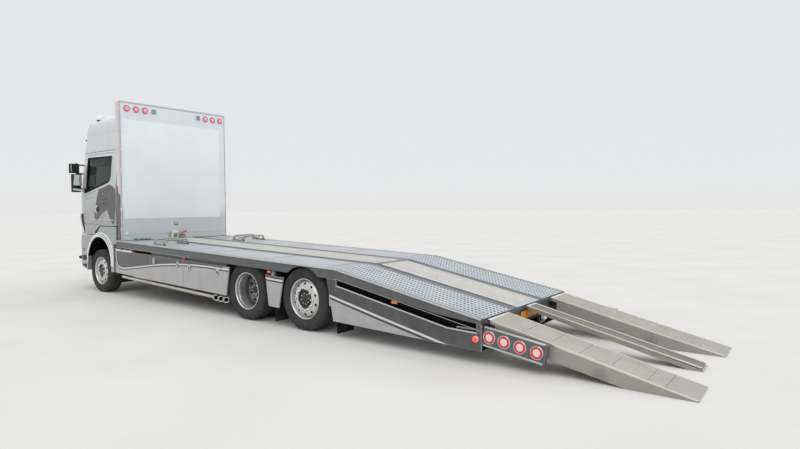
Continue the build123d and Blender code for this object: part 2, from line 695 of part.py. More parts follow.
with BuildPart() as seats:
    for y in (640, -640):
        with BuildSketch(side_plane(y + 245)):
            with BuildLine():
                Polyline((5520, 1640), (5520, 1780), (5180, 1760), (5080, 2420), (5050, 2560), (4960, 2560),
                         (4950, 2400), (5030, 1640), close=True)
            make_face()
        extrude(amount=490)
        with BuildSketch(side_plane(y + 150)):
            with BuildLine():
                Polyline((5420, FLOOR_TOP), (5420, 1640), (5100, 1640), (5100, FLOOR_TOP), close=True)
            make_face()
        extrude(amount=300)
finish(seats, "seats")

with BuildPart() as bunk:
    with BuildSketch(Plane.XY.offset(FLOOR_TOP)):
        with Locations((4590, 0)):
            Rectangle(540, 2200)
    extrude(amount=360)
finish(bunk, "bunk")

# mirrors on arms from the windscreen pillars
with BuildPart() as mirrors:
    # head: middle (x, y, z), size (x, y, z)
    for c, d in (((5800, 1355, 2378), (110, 190, 395)), ((5860, 1368, 2705), (110, 195, 205))):
        with BuildSketch(Plane.XY.offset(c[2] - d[2] / 2)):
            with Locations((c[0], c[1])):
                RectangleRounded(d[0], d[1], 40)
        extrude(amount=d[2])
    with BuildSketch(Plane.XY.offset(2200)):
        with Locations((5880, 1300)):
            Circle(16)
    extrude(amount=620)
    for z in (2260, 2595, 2790):
        with BuildSketch(Plane((5880, 1300, z), x_dir=(0, 0, 1), z_dir=(0.25, -0.97, 0))):
            Circle(16)
        extrude(amount=260)
    for x, z in ((5800, 2378), (5860, 2705)):
        with BuildSketch(Plane((5880, 1300, z), x_dir=(0, 0, 1), z_dir=(x - 5880, 60, 0))):
            Circle(16)
        extrude(amount=60)
    mirror(about=Plane.XZ)
    add(cab_out, mode=Mode.SUBTRACT)
finish(mirrors, "mirrors")

# ---------------------------------------------------------------- front end on the chassis
BUMPER_TOP = 1130
PIVOT_X, PIVOT_Z = 6380, 1200        # cab tilt axis
with BuildPart() as front_bumper:
    for i in (0, 80):
        with BuildSketch(Plane.XY.offset(545)):
            with BuildLine():
                ThreePointArc((5868, -1236 + i), (6175 - i * 0.7, -1082 + i * 0.7), (6390 - i, -700))
                ThreePointArc((6390 - i, -700), (6450 - i, 0), (6390 - i, 700))
                ThreePointArc((6390 - i, 700), (6175 - i * 0.7, 1082 - i * 0.7), (5868, 1236 - i))
                Line((5868, 1236 - i), (5868, -1236 + i))
            make_face()
        extrude(amount=BUMPER_TOP - 545, mode=Mode.ADD if i == 0 else Mode.SUBTRACT)
    # beam that joins it to the frame
    with BuildSketch(Plane.XY.offset(640)):
        with Locations((6280, 0)):
            Rectangle(190, 900)
    extrude(amount=200)
    # brackets and pins of the cab's tilt pivot
    for y in (450, -426):
        with BuildSketch(side_plane(y)):
            with BuildLine():
                Polyline((6200, 830), (6374, 830), (6356, PIVOT_Z), (6300, PIVOT_Z), close=True)
            make_face()
            with Locations((6328, PIVOT_Z)):
                Circle(28)
        extrude(amount=24)
    for y in (500, -400):
        with BuildSketch(side_plane(y)):
            with Locations((6328, PIVOT_Z)):
                Circle(16)
        extrude(amount=100)
finish(front_bumper, "front_bumper")

ARCH_R = 541.6


def arch(r, deg):
    """A point on a circle round the middle of the front wheel's opening."""
    return (5050 + r * cos(radians(deg)), 658 + r * sin(radians(deg)))


with BuildPart() as front_fenders:
    with BuildSketch(side_plane(CAB_HALF)):
        with BuildLine():
            Polyline((4380, 478), (4380, 1235), (5863, 1235), (5863, 520), (5540, 445), close=True)
        make_face()
        with BuildLine():
            low_rear, low_front = arch(ARCH_R, 175.6), arch(ARCH_R, 4.4)
            Line((low_rear[0], 400), low_rear)
            ThreePointArc(low_rear, arch(ARCH_R, 90), low_front)
            Line(low_front, (low_front[0], 400))
            Line((low_front[0], 400), (low_rear[0], 400))
        make_face(mode=Mode.SUBTRACT)
        # openings over the step treads
        with BuildLine():
            Polyline((5640, 672), (5640, 775), (5835, 775), (5835, 672), close=True)
        make_face(mode=Mode.SUBTRACT)
        with BuildLine():
            Polyline((5640, 499), (5640, 582), (5835, 582), (5835, 545), close=True)
        make_face(mode=Mode.SUBTRACT)
    extrude(amount=80)
    # crown panel that reaches up beside the cab's floor
    with BuildSketch(side_plane(CAB_HALF)):
        with BuildLine():
            Polyline((4268, 1062), (4262, 1428), (4972, 1428), (5085, 1330), (5120, 1225), (4390, 1225), (4390, 1062),
                     close=True)
        make_face()
    extrude(amount=32)
    # liner over the wheel
    with BuildSketch(side_plane(CAB_HALF - 75)):
        with BuildLine():
            Line(arch(ARCH_R, 172), arch(ARCH_R + 10, 172))
            ThreePointArc(arch(ARCH_R + 10, 172), arch(ARCH_R + 10, 90), arch(ARCH_R + 10, 10.8))
            Line(arch(ARCH_R + 10, 10.8), arch(ARCH_R, 10.8))
            ThreePointArc(arch(ARCH_R, 10.8), arch(ARCH_R, 90), arch(ARCH_R, 172))
        make_face()
    extrude(amount=380)
    # back plate of the steps
    with BuildSketch(Plane.XY.offset(455)):
        with Locations((5758.5, 952)):
            Rectangle(207, 8)
    extrude(amount=735)
    # step treads ahead of the wheel: rear edge's height, front edge's height
    for z_a, z_b, t in ((475, 522, 25), (640, 640, 28)):
        with BuildSketch(side_plane(1165)):
            with BuildLine():
                Polyline((5655, z_a), (5862, z_b), (5862, z_b + t), (5655, z_a + t), close=True)
            make_face()
        extrude(amount=213)
    with BuildSketch(Plane.XY.offset(515)):
        with Locations((5857, 1060)):
            Rectangle(12, 210)
    extrude(amount=720)
    # stay to the frame behind the wheel
    with BuildSketch(Plane.XY.offset(640)):
        with Locations((4420, 800)):
            Rectangle(40, 740)
    extrude(amount=90)
    mirror(about=Plane.XZ)
finish(front_fenders, "front_fenders")

# ---------------------------------------------------------------- rear lamp boards
# Each board is hinged at the rear corner on an axis square to the beavertail
# and stands swung out in line with the side.
BOARD_L, BOARD_H, BOARD_T = 750, 215, 34
TILT = 8.6
for side, sgn in (("left", 1), ("right", -1)):
    base = Plane((REAR_X - 38, sgn * 1266, 440), x_dir=(-cos(radians(TILT)), 0, -sin(radians(TILT))), z_dir=(0, -sgn, 0))
    with BuildPart() as lamp_board:
        with BuildSketch(base):
            with Locations((BOARD_L / 2, 0)):
                Rectangle(BOARD_L, BOARD_H, align=(Align.CENTER, Align.MAX if base.y_dir.Z > 0 else Align.MIN))
        extrude(amount=BOARD_T)
    finish(lamp_board, "lamp_board_" + side)

# ---------------------------------------------------------------- ramps
RAMP_TOP_X, RAMP_TOP_Z = -4310, 505
RAMP_SLOPE = RAMP_TOP_Z / (RAMP_TOP_X - RAMP_TIP_X)
TAPER_X = -5800
with BuildPart() as ramp_left:
    with BuildSketch(side_plane(RAMP_OUT_Y)):
        with BuildLine():
            Polyline((RAMP_TOP_X, RAMP_TOP_Z), (RAMP_TIP_X, 6), (RAMP_TIP_X, 0), (TAPER_X, 0),
                     (-4470, 270), (-4405, 330), (-4405, 440), (RAMP_TOP_X, 462), close=True)
        make_face()
    extrude(amount=RAMP_OUT_Y - RAMP_IN_Y)
    # hollow underneath between the side beams
    with BuildSketch(side_plane(RAMP_OUT_Y - 45)):
        with BuildLine():
            Polyline((-4450, 435), (-5560, 158), (-5700, -20), (-5800, -60), (-4450, 230), close=True)
        make_face()
    extrude(amount=RAMP_OUT_Y - RAMP_IN_Y - 90, mode=Mode.SUBTRACT)
    # bore for the hinge pins
    with BuildSketch(side_plane(RAMP_OUT_Y + 5)):
        with Locations((RAMP_PIVOT_X, RAMP_PIVOT_Z)):
            Circle(9.05)
    extrude(amount=RAMP_OUT_Y - RAMP_IN_Y + 10, mode=Mode.SUBTRACT)
finish(ramp_left, "ramp_left")

with BuildPart() as ramp_right:
    add(mirror(ramp_left.part, about=Plane.XZ, mode=Mode.PRIVATE))
finish(ramp_right, "ramp_right")

CENTRE_TIP_X = -6330
with BuildPart() as ramp_centre:
    with BuildSketch(side_plane(130)):
        with BuildLine():
            Polyline((RAMP_TOP_X, RAMP_TOP_Z), (CENTRE_TIP_X, 12), (CENTRE_TIP_X, 0), (-6180, 0),
                     (-4400, 436), (RAMP_TOP_X, 462), close=True)
        make_face()
    extrude(amount=260)
    with BuildSketch(side_plane(95)):
        with BuildLine():
            Polyline((-4420, 460), (CENTRE_TIP_X + 60, 6), (CENTRE_TIP_X + 60, -40),
                     (-4420, 380), close=True)
        make_face()
    extrude(amount=190, mode=Mode.SUBTRACT)
    with BuildSketch(side_plane(135)):
        with Locations((RAMP_PIVOT_X, RAMP_PIVOT_Z)):
            Circle(9.05)
    extrude(amount=270, mode=Mode.SUBTRACT)
finish(ramp_centre, "ramp_centre")
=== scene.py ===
import math
import random

import bmesh
import bpy
from mathutils import Matrix, Vector
from mathutils.geometry import delaunay_2d_cdt


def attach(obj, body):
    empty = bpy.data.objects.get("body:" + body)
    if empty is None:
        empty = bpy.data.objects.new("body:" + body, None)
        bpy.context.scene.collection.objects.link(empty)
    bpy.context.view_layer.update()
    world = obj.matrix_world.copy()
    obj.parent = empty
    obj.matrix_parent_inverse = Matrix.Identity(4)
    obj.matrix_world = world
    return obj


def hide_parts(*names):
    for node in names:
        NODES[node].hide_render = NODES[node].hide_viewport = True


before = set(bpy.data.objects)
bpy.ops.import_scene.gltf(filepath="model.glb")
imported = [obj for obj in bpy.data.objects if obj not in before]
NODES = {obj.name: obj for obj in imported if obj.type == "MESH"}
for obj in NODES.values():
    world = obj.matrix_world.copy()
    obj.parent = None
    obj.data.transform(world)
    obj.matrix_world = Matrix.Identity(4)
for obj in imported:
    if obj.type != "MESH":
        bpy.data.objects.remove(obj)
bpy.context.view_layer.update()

PI = math.pi
random.seed(7)


# ================================================================ colour and node helpers
def C(r, g, b):
    """A colour given as 0-255 screen values, as linear RGBA."""
    def lin(c):
        c /= 255.0
        return c / 12.92 if c <= 0.04045 else ((c + 0.055) / 1.055) ** 2.4
    return (lin(r), lin(g), lin(b), 1.0)


def shade(c, k):
    return (c[0] * k, c[1] * k, c[2] * k, 1.0)


class Mat:
    """A node material on the object's own coordinates, which are the row frame for most pieces."""

    def __init__(self, name):
        self.m = bpy.data.materials.new(name)
        self.m.use_nodes = True
        self.t = self.m.node_tree
        self.t.nodes.clear()
        self.out = self.t.nodes.new("ShaderNodeOutputMaterial")
        self.b = self.t.nodes.new("ShaderNodeBsdfPrincipled")
        self.t.links.new(self.b.outputs[0], self.out.inputs[0])
        tc = self.t.nodes.new("ShaderNodeTexCoord")
        self.co, self.nrm = tc.outputs["Object"], tc.outputs["Normal"]

    def put(self, sock, v):
        if isinstance(v, bpy.types.NodeSocket):
            self.t.links.new(v, sock)
        elif v is not None:
            sock.default_value = v

    def math(self, op, a, b=None, c=None, clamp=False):
        n = self.t.nodes.new("ShaderNodeMath")
        n.operation, n.use_clamp = op, clamp
        for s, v in zip(n.inputs, (a, b, c)):
            self.put(s, v)
        return n.outputs[0]

    def rng(self, x, a, b, c=0.0, d=1.0, smooth=False):
        n = self.t.nodes.new("ShaderNodeMapRange")
        n.clamp = True
        if smooth:
            n.interpolation_type = "SMOOTHSTEP"
        for s, v in zip(n.inputs, (x, a, b, c, d)):
            self.put(s, v)
        return n.outputs[0]

    def map(self, scale=(1, 1, 1), rot=(0, 0, 0), loc=(0, 0, 0), vec=None):
        n = self.t.nodes.new("ShaderNodeMapping")
        self.put(n.inputs["Vector"], vec or self.co)
        n.inputs["Scale"].default_value = scale
        n.inputs["Rotation"].default_value = rot
        n.inputs["Location"].default_value = loc
        return n.outputs[0]

    def noise(self, scale, detail=4.0, rough=0.55, vec=None, dist=0.0):
        n = self.t.nodes.new("ShaderNodeTexNoise")
        self.put(n.inputs["Vector"], vec or self.co)
        n.inputs["Scale"].default_value = scale
        n.inputs["Detail"].default_value = detail
        n.inputs["Roughness"].default_value = rough
        n.inputs["Distortion"].default_value = dist
        return n.outputs[0]

    def vor(self, scale, vec=None, feature="F1", out="Distance"):
        n = self.t.nodes.new("ShaderNodeTexVoronoi")
        n.feature = feature
        self.put(n.inputs["Vector"], vec or self.co)
        n.inputs["Scale"].default_value = scale
        return n.outputs[out]

    def mix(self, fac, a, b, kind="MIX"):
        n = self.t.nodes.new("ShaderNodeMix")
        n.data_type, n.blend_type = "RGBA", kind
        self.put(n.inputs[0], fac)
        self.put(n.inputs[6], a)
        self.put(n.inputs[7], b)
        return n.outputs[2]

    def ramp(self, fac, stops):
        n = self.t.nodes.new("ShaderNodeValToRGB")
        self.put(n.inputs[0], fac)
        el = n.color_ramp.elements
        while len(el) < len(stops):
            el.new(0.5)
        for e, (p, c) in zip(el, stops):
            e.position, e.color = p, c
        return n.outputs[0]

    def xyz(self, vec=None):
        n = self.t.nodes.new("ShaderNodeSeparateXYZ")
        self.put(n.inputs[0], vec or self.co)
        return n.outputs[0], n.outputs[1], n.outputs[2]

    def bump(self, height, strength=0.3, dist=0.002, below=None):
        n = self.t.nodes.new("ShaderNodeBump")
        n.inputs["Strength"].default_value = strength
        n.inputs["Distance"].default_value = dist
        self.put(n.inputs["Height"], height)
        if below is not None:
            self.put(n.inputs["Normal"], below)
        return n.outputs[0]

    def set(self, **kw):
        names = dict(base="Base Color", rough="Roughness", metal="Metallic", ior="IOR", normal="Normal", alpha="Alpha",
                     coat="Coat Weight", coat_rough="Coat Roughness", trans="Transmission Weight", sheen="Sheen Weight",
                     sheen_rough="Sheen Roughness", emit="Emission Color", glow="Emission Strength",
                     spec="Specular IOR Level", sss="Subsurface Weight", aniso="Anisotropic")
        for k, v in kw.items():
            self.put(self.b.inputs[names[k]], v)
        return self.m


# ================================================================ materials
def paint(name, col, rough=0.3, metal=0.0, coat=0.5, dirt=0.25, dirt_col=C(128, 121, 110), low=1.0, flake=0.0, low_shade=None):
    """Sprayed panel paint: faint tone drift, metal flake, road film that thickens towards the ground, orange peel, and,
    where asked, painted shade that darkens the colour towards the bottom.
    """
    m = Mat(name)
    x, y, z = m.xyz()
    drift = m.rng(m.noise(0.8, 3), 0.3, 0.7)
    base = m.mix(drift, col, shade(col, 0.94))
    # painted shade: the colour darkens towards the bottom between two heights, as the lower parts are less lit
    if low_shade:
        base = m.mix(m.rng(z, low_shade[0], low_shade[1], 1.0, 0.0, True), base, shade(col, low_shade[2]))
    if flake:
        base = m.mix(m.rng(m.vor(1400, out="Color"), 0.2, 1.0, 0.0, flake), base, shade(col, 1.25))
    lowf = m.rng(z, low, 0.1, 0.25, 1.0)
    film = m.math("MULTIPLY", m.rng(m.noise(4.0, 6, 0.65), 0.40, 0.78), m.math("MULTIPLY", lowf, dirt * 2.0))
    streak = m.rng(m.noise(1.0, 4, 0.6, m.map((9, 9, 0.5))), 0.52, 0.8, 0.0, dirt * 0.7)
    film = m.math("ADD", film, streak, clamp=True)
    speck = m.rng(m.noise(220, 2), 0.66, 0.74, 0.0, dirt)
    film = m.math("MAXIMUM", film, speck)
    base = m.mix(film, base, dirt_col)
    rr = m.math("ADD", m.rng(film, 0, 1, rough, 0.72), m.rng(m.noise(14, 3), 0.3, 0.7, -0.03, 0.03))
    peel = m.bump(m.noise(160, 2), 0.05, 0.0008)
    return m.set(base=base, rough=rr, metal=metal, coat=coat, coat_rough=0.12, normal=peel)


def alu(name, col, rough=0.38, metal=0.9, along="x", stain=0.35, stain_col=C(120, 116, 106), grain=0.25, scale=1.0, smudge=()):
    """Bare aluminium or zinc: lines along the rolling direction, blotchy oxide, dull stains."""
    m = Mat(name)
    s = {"x": (1.5, 70, 70), "y": (70, 1.5, 70), "z": (70, 70, 1.5), "": (40, 40, 40)}[along]
    lines = m.noise(2.0 * scale, 5, 0.7, m.map(s))
    blot = m.noise(3.1 * scale, 7, 0.68)
    base = m.mix(m.rng(lines, 0.25, 0.75), shade(col, 0.86), shade(col, 1.08))
    st = m.rng(blot, 0.46, 0.78, 0.0, stain)
    spots = m.rng(m.noise(26 * scale, 5, 0.7), 0.60, 0.74, 0.0, stain * 0.8)
    st = m.math("MAXIMUM", st, spots)
    base = m.mix(st, base, stain_col)
    if smudge:  # oily dark patches where tyres and hands touch
        x, y, z = m.xyz()
        for sx, sy, sz in smudge:
            q = m.math("ADD", m.math("POWER", m.math("SUBTRACT", x, sx), 2.0), m.math("POWER", m.math("SUBTRACT", z, sz), 2.0))
            q = m.math("ADD", q, m.math("POWER", m.math("SUBTRACT", y, sy), 2.0))
            q = m.math("ADD", q, m.math("MULTIPLY", m.noise(18, 4, 0.6), 0.010))
            base = m.mix(m.rng(q, 0.016, 0.004, 0.0, 0.55), base, C(72, 68, 62))
    if smudge:  # painted shade: the upright sides, found by their normal, are darkened as if less lit than the top
        g = m.t.nodes.new("ShaderNodeNewGeometry")
        sp = m.t.nodes.new("ShaderNodeSeparateXYZ")
        m.t.links.new(g.outputs["Normal"], sp.inputs[0])
        base = m.mix(m.rng(m.math("ABSOLUTE", sp.outputs[1]), 0.5, 0.9, 0.0, 0.60), base, C(132, 130, 122))
    rr = m.math("ADD", m.rng(st, 0, 1, rough, min(0.9, rough + 0.35)), m.rng(lines, 0.2, 0.8, -0.06, 0.06))
    mt = m.rng(st, 0, 1, metal, metal * 0.55)
    nb = m.bump(lines, grain, 0.0006)
    nb = m.bump(m.noise(90 * scale, 3), 0.08, 0.0008, nb)
    return m.set(base=base, rough=rr, metal=mt, normal=nb)


def plastic(name, col, rough=0.5, dirt=0.2, dirt_col=C(112, 106, 98), grain=180, depth=0.12, spec=0.4):
    m = Mat(name)
    base = m.mix(m.rng(m.noise(2.5, 4), 0.3, 0.7), col, shade(col, 0.8))
    film = m.rng(m.noise(7, 6, 0.68), 0.45, 0.8, 0.0, dirt)
    base = m.mix(film, base, dirt_col)
    rr = m.rng(film, 0, 1, rough, 0.85)
    return m.set(base=base, rough=rr, normal=m.bump(m.noise(grain, 3, 0.6), depth, 0.0006), spec=spec)


def lens(name, col, inner, glow=0.0, cell=90):
    """Moulded lamp lens: prism cells in the bump, deeper colour between them."""
    m = Mat(name)
    cells = m.vor(cell)
    base = m.mix(m.rng(cells, 0.1, 0.6), inner, col)
    base = m.mix(m.rng(m.noise(30, 4), 0.55, 0.8, 0, 0.25), base, C(120, 110, 100))
    return m.set(base=base, rough=m.rng(m.noise(20, 3), 0.3, 0.7, 0.10, 0.2), coat=0.7, coat_rough=0.05,
                 normal=m.bump(cells, 0.35, 0.001), emit=col, glow=glow)


M = {}
# the cab's lower part is darkened towards the bottom as painted shade
M["cab"] = paint("cab_silver", C(205, 208, 210), 0.32, 0.22, 0.55, 0.14, low=1.5, flake=0.25, low_shade=(1.3, 3.0, 0.44))
M["cabdark"] = paint("cab_dark_swoosh", C(44, 45, 46), 0.3, 0.25, 0.6, 0.18, C(120, 118, 112), low=1.6, flake=0.2)
M["skirt"] = paint("skirt_silver", C(173, 172, 173), 0.36, 0.2, 0.5, 0.22, low=0.9, flake=0.2)
M["dark"] = paint("skirt_dark", C(60, 61, 63), 0.36, 0.15, 0.5, 0.2, C(125, 120, 112), low=0.9, flake=0.15)
M["white"] = paint("stripe_white", C(214, 214, 212), 0.35, 0.0, 0.45, 0.2, low=0.9)
M["black"] = paint("stripe_black", C(30, 31, 34), 0.4, 0.0, 0.4, 0.2, C(100, 96, 90), low=0.9)
M["rail"] = paint("rail_grey", C(78, 80, 82), 0.42, 0.15, 0.35, 0.3, C(122, 117, 110), low=1.2)
M["boardp"] = paint("lamp_board_grey", C(84, 88, 90), 0.38, 0.2, 0.4, 0.3, C(118, 114, 106), low=0.7)
# the headboard's lower part is darkened towards the bottom as painted shade
M["head"] = paint("headboard_grey", C(226, 232, 238), 0.4, 0.05, 0.3, 0.12, C(150, 148, 145), low=2.0, low_shade=(1.55, 1.95, 0.68))
M["headside"] = paint("headboard_white", C(206, 207, 210), 0.4, 0.05, 0.3, 0.12, C(150, 146, 140), low=2.6)
M["headdark"] = paint("headboard_dark", C(76, 78, 88), 0.38, 0.15, 0.4, 0.15, low=2.0)
M["blank"] = paint("blank_panel", C(230, 237, 243), 0.5, 0.0, 0.1, 0.03, C(196, 198, 200), low=0.2)
M["chassis"] = paint("chassis_dark", C(48, 49, 52), 0.55, 0.0, 0.15, 0.6, C(96, 88, 78), low=1.2)
M["locker"] = paint("locker_inside", C(74, 76, 78), 0.55, 0.1, 0.1, 0.4, C(105, 98, 90), low=1.2)
M["plate"] = paint("plate_amber", C(226, 138, 30), 0.5, 0.0, 0.2, 0.2, C(120, 84, 40), low=0.9)
M["teal"] = paint("strap_teal", C(38, 126, 138), 0.7, 0.0, 0.0, 0.3, C(110, 120, 118), low=2.0)
M["redpaint"] = paint("lever_red", C(178, 34, 44), 0.4, 0.0, 0.3, 0.2, C(110, 70, 64), low=2.0)
M["greenpaint"] = paint("box_green", C(120, 140, 122), 0.5, 0.0, 0.2, 0.3, C(110, 106, 98), low=2.0)
M["alu"] = alu("alu_trim", C(206, 207, 208), 0.34, 0.95, "x", 0.25)
M["aluz"] = alu("alu_trim_upright", C(204, 206, 208), 0.34, 0.95, "z", 0.22)
M["track"] = alu("track_panel", C(176, 180, 183), 0.5, 0.30, "x", 0.45, C(142, 144, 144), 0.15, 0.7)
M["perf"] = alu("track_perforated", C(186, 194, 200), 0.42, 0.5, "x", 0.35, C(134, 137, 138), 0.15)
# the ramps' upright sides get painted shade in this material
M["ramp"] = alu("ramp_weathered_side_shaded", C(189, 185, 178), 0.5, 0.35, "x", 0.50, C(146, 142, 133), 0.3, smudge=((-5.56, 1.19, 0.075), (-5.62, -0.65, 0.075)))
M["rampedge"] = alu("ramp_edge_worn", C(222, 219, 208), 0.32, 0.8, "x", 0.25, C(150, 146, 136), 0.2)
M["tip"] = alu("ramp_tip_plate", C(170, 167, 160), 0.45, 0.40, "x", 0.40, C(140, 139, 134), 0.2)
M["rampmid"] = alu("ramp_middle_channel", C(128, 125, 118), 0.5, 0.35, "x", 0.5, C(112, 108, 100), 0.2)
M["chrome"] = alu("polished", C(226, 227, 228), 0.13, 1.0, "", 0.12, C(150, 142, 130), 0.03)
M["wheel"] = alu("wheel_polished", C(214, 212, 208), 0.24, 0.95, "", 0.16, C(146, 138, 126), 0.05, 1.3)
M["barrel"] = alu("wheel_barrel", C(212, 213, 214), 0.30, 0.80, "", 0.12, C(150, 144, 134), 0.05, 1.3)
M["disc"] = alu("wheel_disc_dull", C(112, 109, 108), 0.42, 0.7, "", 0.40, C(78, 70, 64), 0.06, 1.1)
M["latch"] = alu("latch_steel", C(196, 198, 198), 0.36, 0.6, "", 0.25, C(140, 138, 134), 0.05)
M["zinc"] = alu("zinc_steel", C(172, 172, 166), 0.4, 0.8, "", 0.4, C(118, 108, 92), 0.1)
M["tank"] = alu("tank_metal", C(186, 188, 190), 0.34, 0.9, "y", 0.4)
M["pipe"] = alu("pipe_steel", C(212, 206, 196), 0.26, 0.95, "x", 0.45, C(132, 118, 100), 0.06)
M["iron"] = plastic("dark_iron", C(46, 44, 44), 0.6, 0.55, C(98, 84, 70), 120, 0.3)
M["hub"] = plastic("hub_dark", C(34, 32, 36), 0.42, 0.35, C(84, 70, 66), 60, 0.3, 0.5)
# dark grey for grimy panel joints, and as painted shade on the deck holes' walls
M["joint_grime_and_hole_shade"] = plastic("hole_shade_and_joint_grime", C(58, 61, 64), 0.8, 0.4, C(84, 80, 74))
M["mould"] = plastic("black_moulding", C(26, 27, 29), 0.45, 0.18)
M["rubber"] = plastic("seal_rubber", C(22, 22, 24), 0.7, 0.25, C(90, 86, 80), 260, 0.2, 0.25)
M["flap"] = plastic("flap_rubber", C(34, 35, 37), 0.75, 0.45, C(94, 88, 80), 140, 0.3, 0.25)
M["dash"] = plastic("dash_plastic", C(52, 53, 57), 0.6, 0.1, C(90, 88, 84), 300, 0.3)
M["dashlight"] = plastic("trim_light", C(138, 136, 130), 0.6, 0.1, C(110, 106, 98), 300, 0.3)
M["strip"] = paint("deck_gap_grey", C(100, 104, 110), 0.5, 0.25, 0.1, 0.3, C(134, 128, 120), low=2.0)
M["redlens"] = lens("lens_red", C(200, 36, 50), C(140, 14, 28), 0.15)
M["redlit"] = lens("lens_red_lit", C(255, 50, 30), C(230, 20, 20), 2.2)
M["pinklens"] = lens("lens_reflector", C(238, 208, 208), C(224, 158, 162), 0.05, 160)
M["hotlens"] = lens("lens_reflector_pink", C(252, 168, 182), C(236, 120, 140), 0.12, 160)
M["crimson"] = lens("lens_crimson", C(196, 52, 82), C(150, 30, 58), 0.08)
M["greylens"] = lens("lens_grey", C(138, 146, 150), C(104, 112, 116), 0.0, 60)
# near white: painted highlight on the wheel arch's pressed ridges
M["ridge"] = paint("arch_ridge_painted_highlight", C(232, 234, 234), 0.3, 0.05, 0.5, 0.10, low=0.9)
M["glassdark"] = lens("lamp_glass_dark", C(34, 36, 40), C(18, 19, 22), 0.0, 120)
M["cream"] = plastic("visor_cream", C(222, 218, 206), 0.7, 0.08, C(180, 174, 160), 220, 0.2, 0.2)
M["visor"] = plastic("visor_smoke", C(46, 48, 52), 0.25, 0.1)
M["void"] = plastic("unlit_inside", C(16, 17, 19), 0.9, 0.2, C(36, 36, 38), 120, 0.2, 0.1)
M["amber"] = lens("lens_amber", C(214, 110, 40), C(176, 72, 14), 0.05)
M["white_lens"] = lens("lens_clear", C(228, 232, 234), C(196, 202, 206), 0.05, 120)
M["maroon"] = lens("lens_fog_dark", C(96, 10, 18), C(50, 4, 8), 0.05)


def glass_mat(name, col, rough):
    m = Mat(name)
    film = m.rng(m.noise(5, 5, 0.7), 0.45, 0.8)
    base = m.mix(m.math("MULTIPLY", film, 0.12), col, C(190, 190, 186))
    return m.set(base=base, rough=m.rng(film, 0, 1, rough, rough + 0.05), trans=1.0, ior=1.2, spec=0.3)


M["glass"] = glass_mat("cab_glass_tint", C(112, 126, 120), 0.01)


def mirror_mat():
    m = Mat("mirror_glass")
    smear = m.rng(m.noise(9, 5, 0.7), 0.5, 0.8, 0.02, 0.12)
    return m.set(base=m.mix(smear, C(186, 198, 196), C(170, 178, 178)), metal=0.72, rough=smear)


M["mirror"] = mirror_mat()


def tyre_mat():
    """Object origin is the wheel centre and the axle is Y: rings, a dusty wall, grooves darkened as painted shade."""
    m = Mat("tyre_rubber_dusty")
    x, y, z = m.xyz()
    r = m.math("SQRT", m.math("ADD", m.math("MULTIPLY", x, x), m.math("MULTIPLY", z, z)))
    dust = m.rng(m.noise(7, 6, 0.7), 0.38, 0.75, 0.10, 0.60)
    arc = m.rng(m.noise(3, 3), 0.3, 0.7, 0.0, 0.2)
    dust = m.math("ADD", dust, arc, clamp=True)
    base = m.mix(dust, C(38, 38, 40), C(76, 74, 72))
    tread = m.rng(r, 0.448, 0.456)
    base = m.mix(m.math("MULTIPLY", tread, 0.45), base, C(96, 90, 84))
    # painted shade: the grooves are darker than the rubber itself
    groove_shade = m.rng(r, 0.452, 0.447)
    groove_shade = m.math("MULTIPLY", groove_shade, m.rng(m.math("ABSOLUTE", y), 0.122, 0.112))
    base = m.mix(groove_shade, base, C(20, 20, 21))
    rings = m.math("SINE", m.math("MULTIPLY", r, 2 * PI / 0.0085))
    wall = m.math("MULTIPLY", m.rng(r, 0.30, 0.315), m.rng(r, 0.44, 0.425))
    h = m.math("MULTIPLY", m.math("MULTIPLY", rings, wall), 0.5)
    nb = m.bump(h, 0.35, 0.0012)
    nb = m.bump(m.noise(150, 4, 0.6), 0.25, 0.0008, nb)
    return m.set(base=base, rough=m.rng(dust, 0, 1, 0.68, 0.9), normal=nb, spec=0.25)


M["tyre"] = tyre_mat()


def plank_mat():
    """Sanded beige boards on the middle of the deck: grain along the truck, a tone for every board, dirt spots."""
    m = Mat("centre_boards")
    x, y, z = m.xyz()
    board = m.t.nodes.new("ShaderNodeTexWhiteNoise")
    board.noise_dimensions = "1D"
    m.put(board.inputs["W"], m.math("FLOOR", m.math("MULTIPLY", m.math("ADD", y, 5.0), 1 / 0.094)))
    grain = m.noise(3.0, 6, 0.72, m.map((0.9, 55, 20)))
    fine = m.noise(3.0, 5, 0.7, m.map((3.0, 190, 60), loc=(3, 1, 0)))
    base = m.ramp(grain, [(0.30, C(176, 175, 172)), (0.46, C(205, 205, 202)), (0.72, C(220, 220, 218))])
    base = m.mix(m.rng(fine, 0.40, 0.65, 0.0, 0.35), base, C(160, 157, 150))
    base = m.mix(m.rng(board.outputs[0], 0, 1, 0.0, 0.30), base, C(180, 175, 167))
    spots = m.rng(m.noise(3.0, 6, 0.75, m.map((2.2, 9, 9))), 0.58, 0.76, 0.0, 0.45)
    base = m.mix(m.math("MULTIPLY", spots, 0.6), base, C(146, 141, 133))
    # a dirty joint between one board and the next
    edge = m.math("ABSOLUTE", m.math("SUBTRACT", m.math("FRACT", m.math("MULTIPLY", m.math("ADD", y, 0.329 + 9.4), 1 / 0.094)), 0.5))
    base = m.mix(m.rng(edge, 0.44, 0.485, 0.0, 0.75), base, C(112, 109, 104))
    nb = m.bump(fine, 0.35, 0.001)
    return m.set(base=base, rough=m.rng(grain, 0.2, 0.8, 0.8, 0.62), normal=nb, spec=0.3)


M["plank"] = plank_mat()


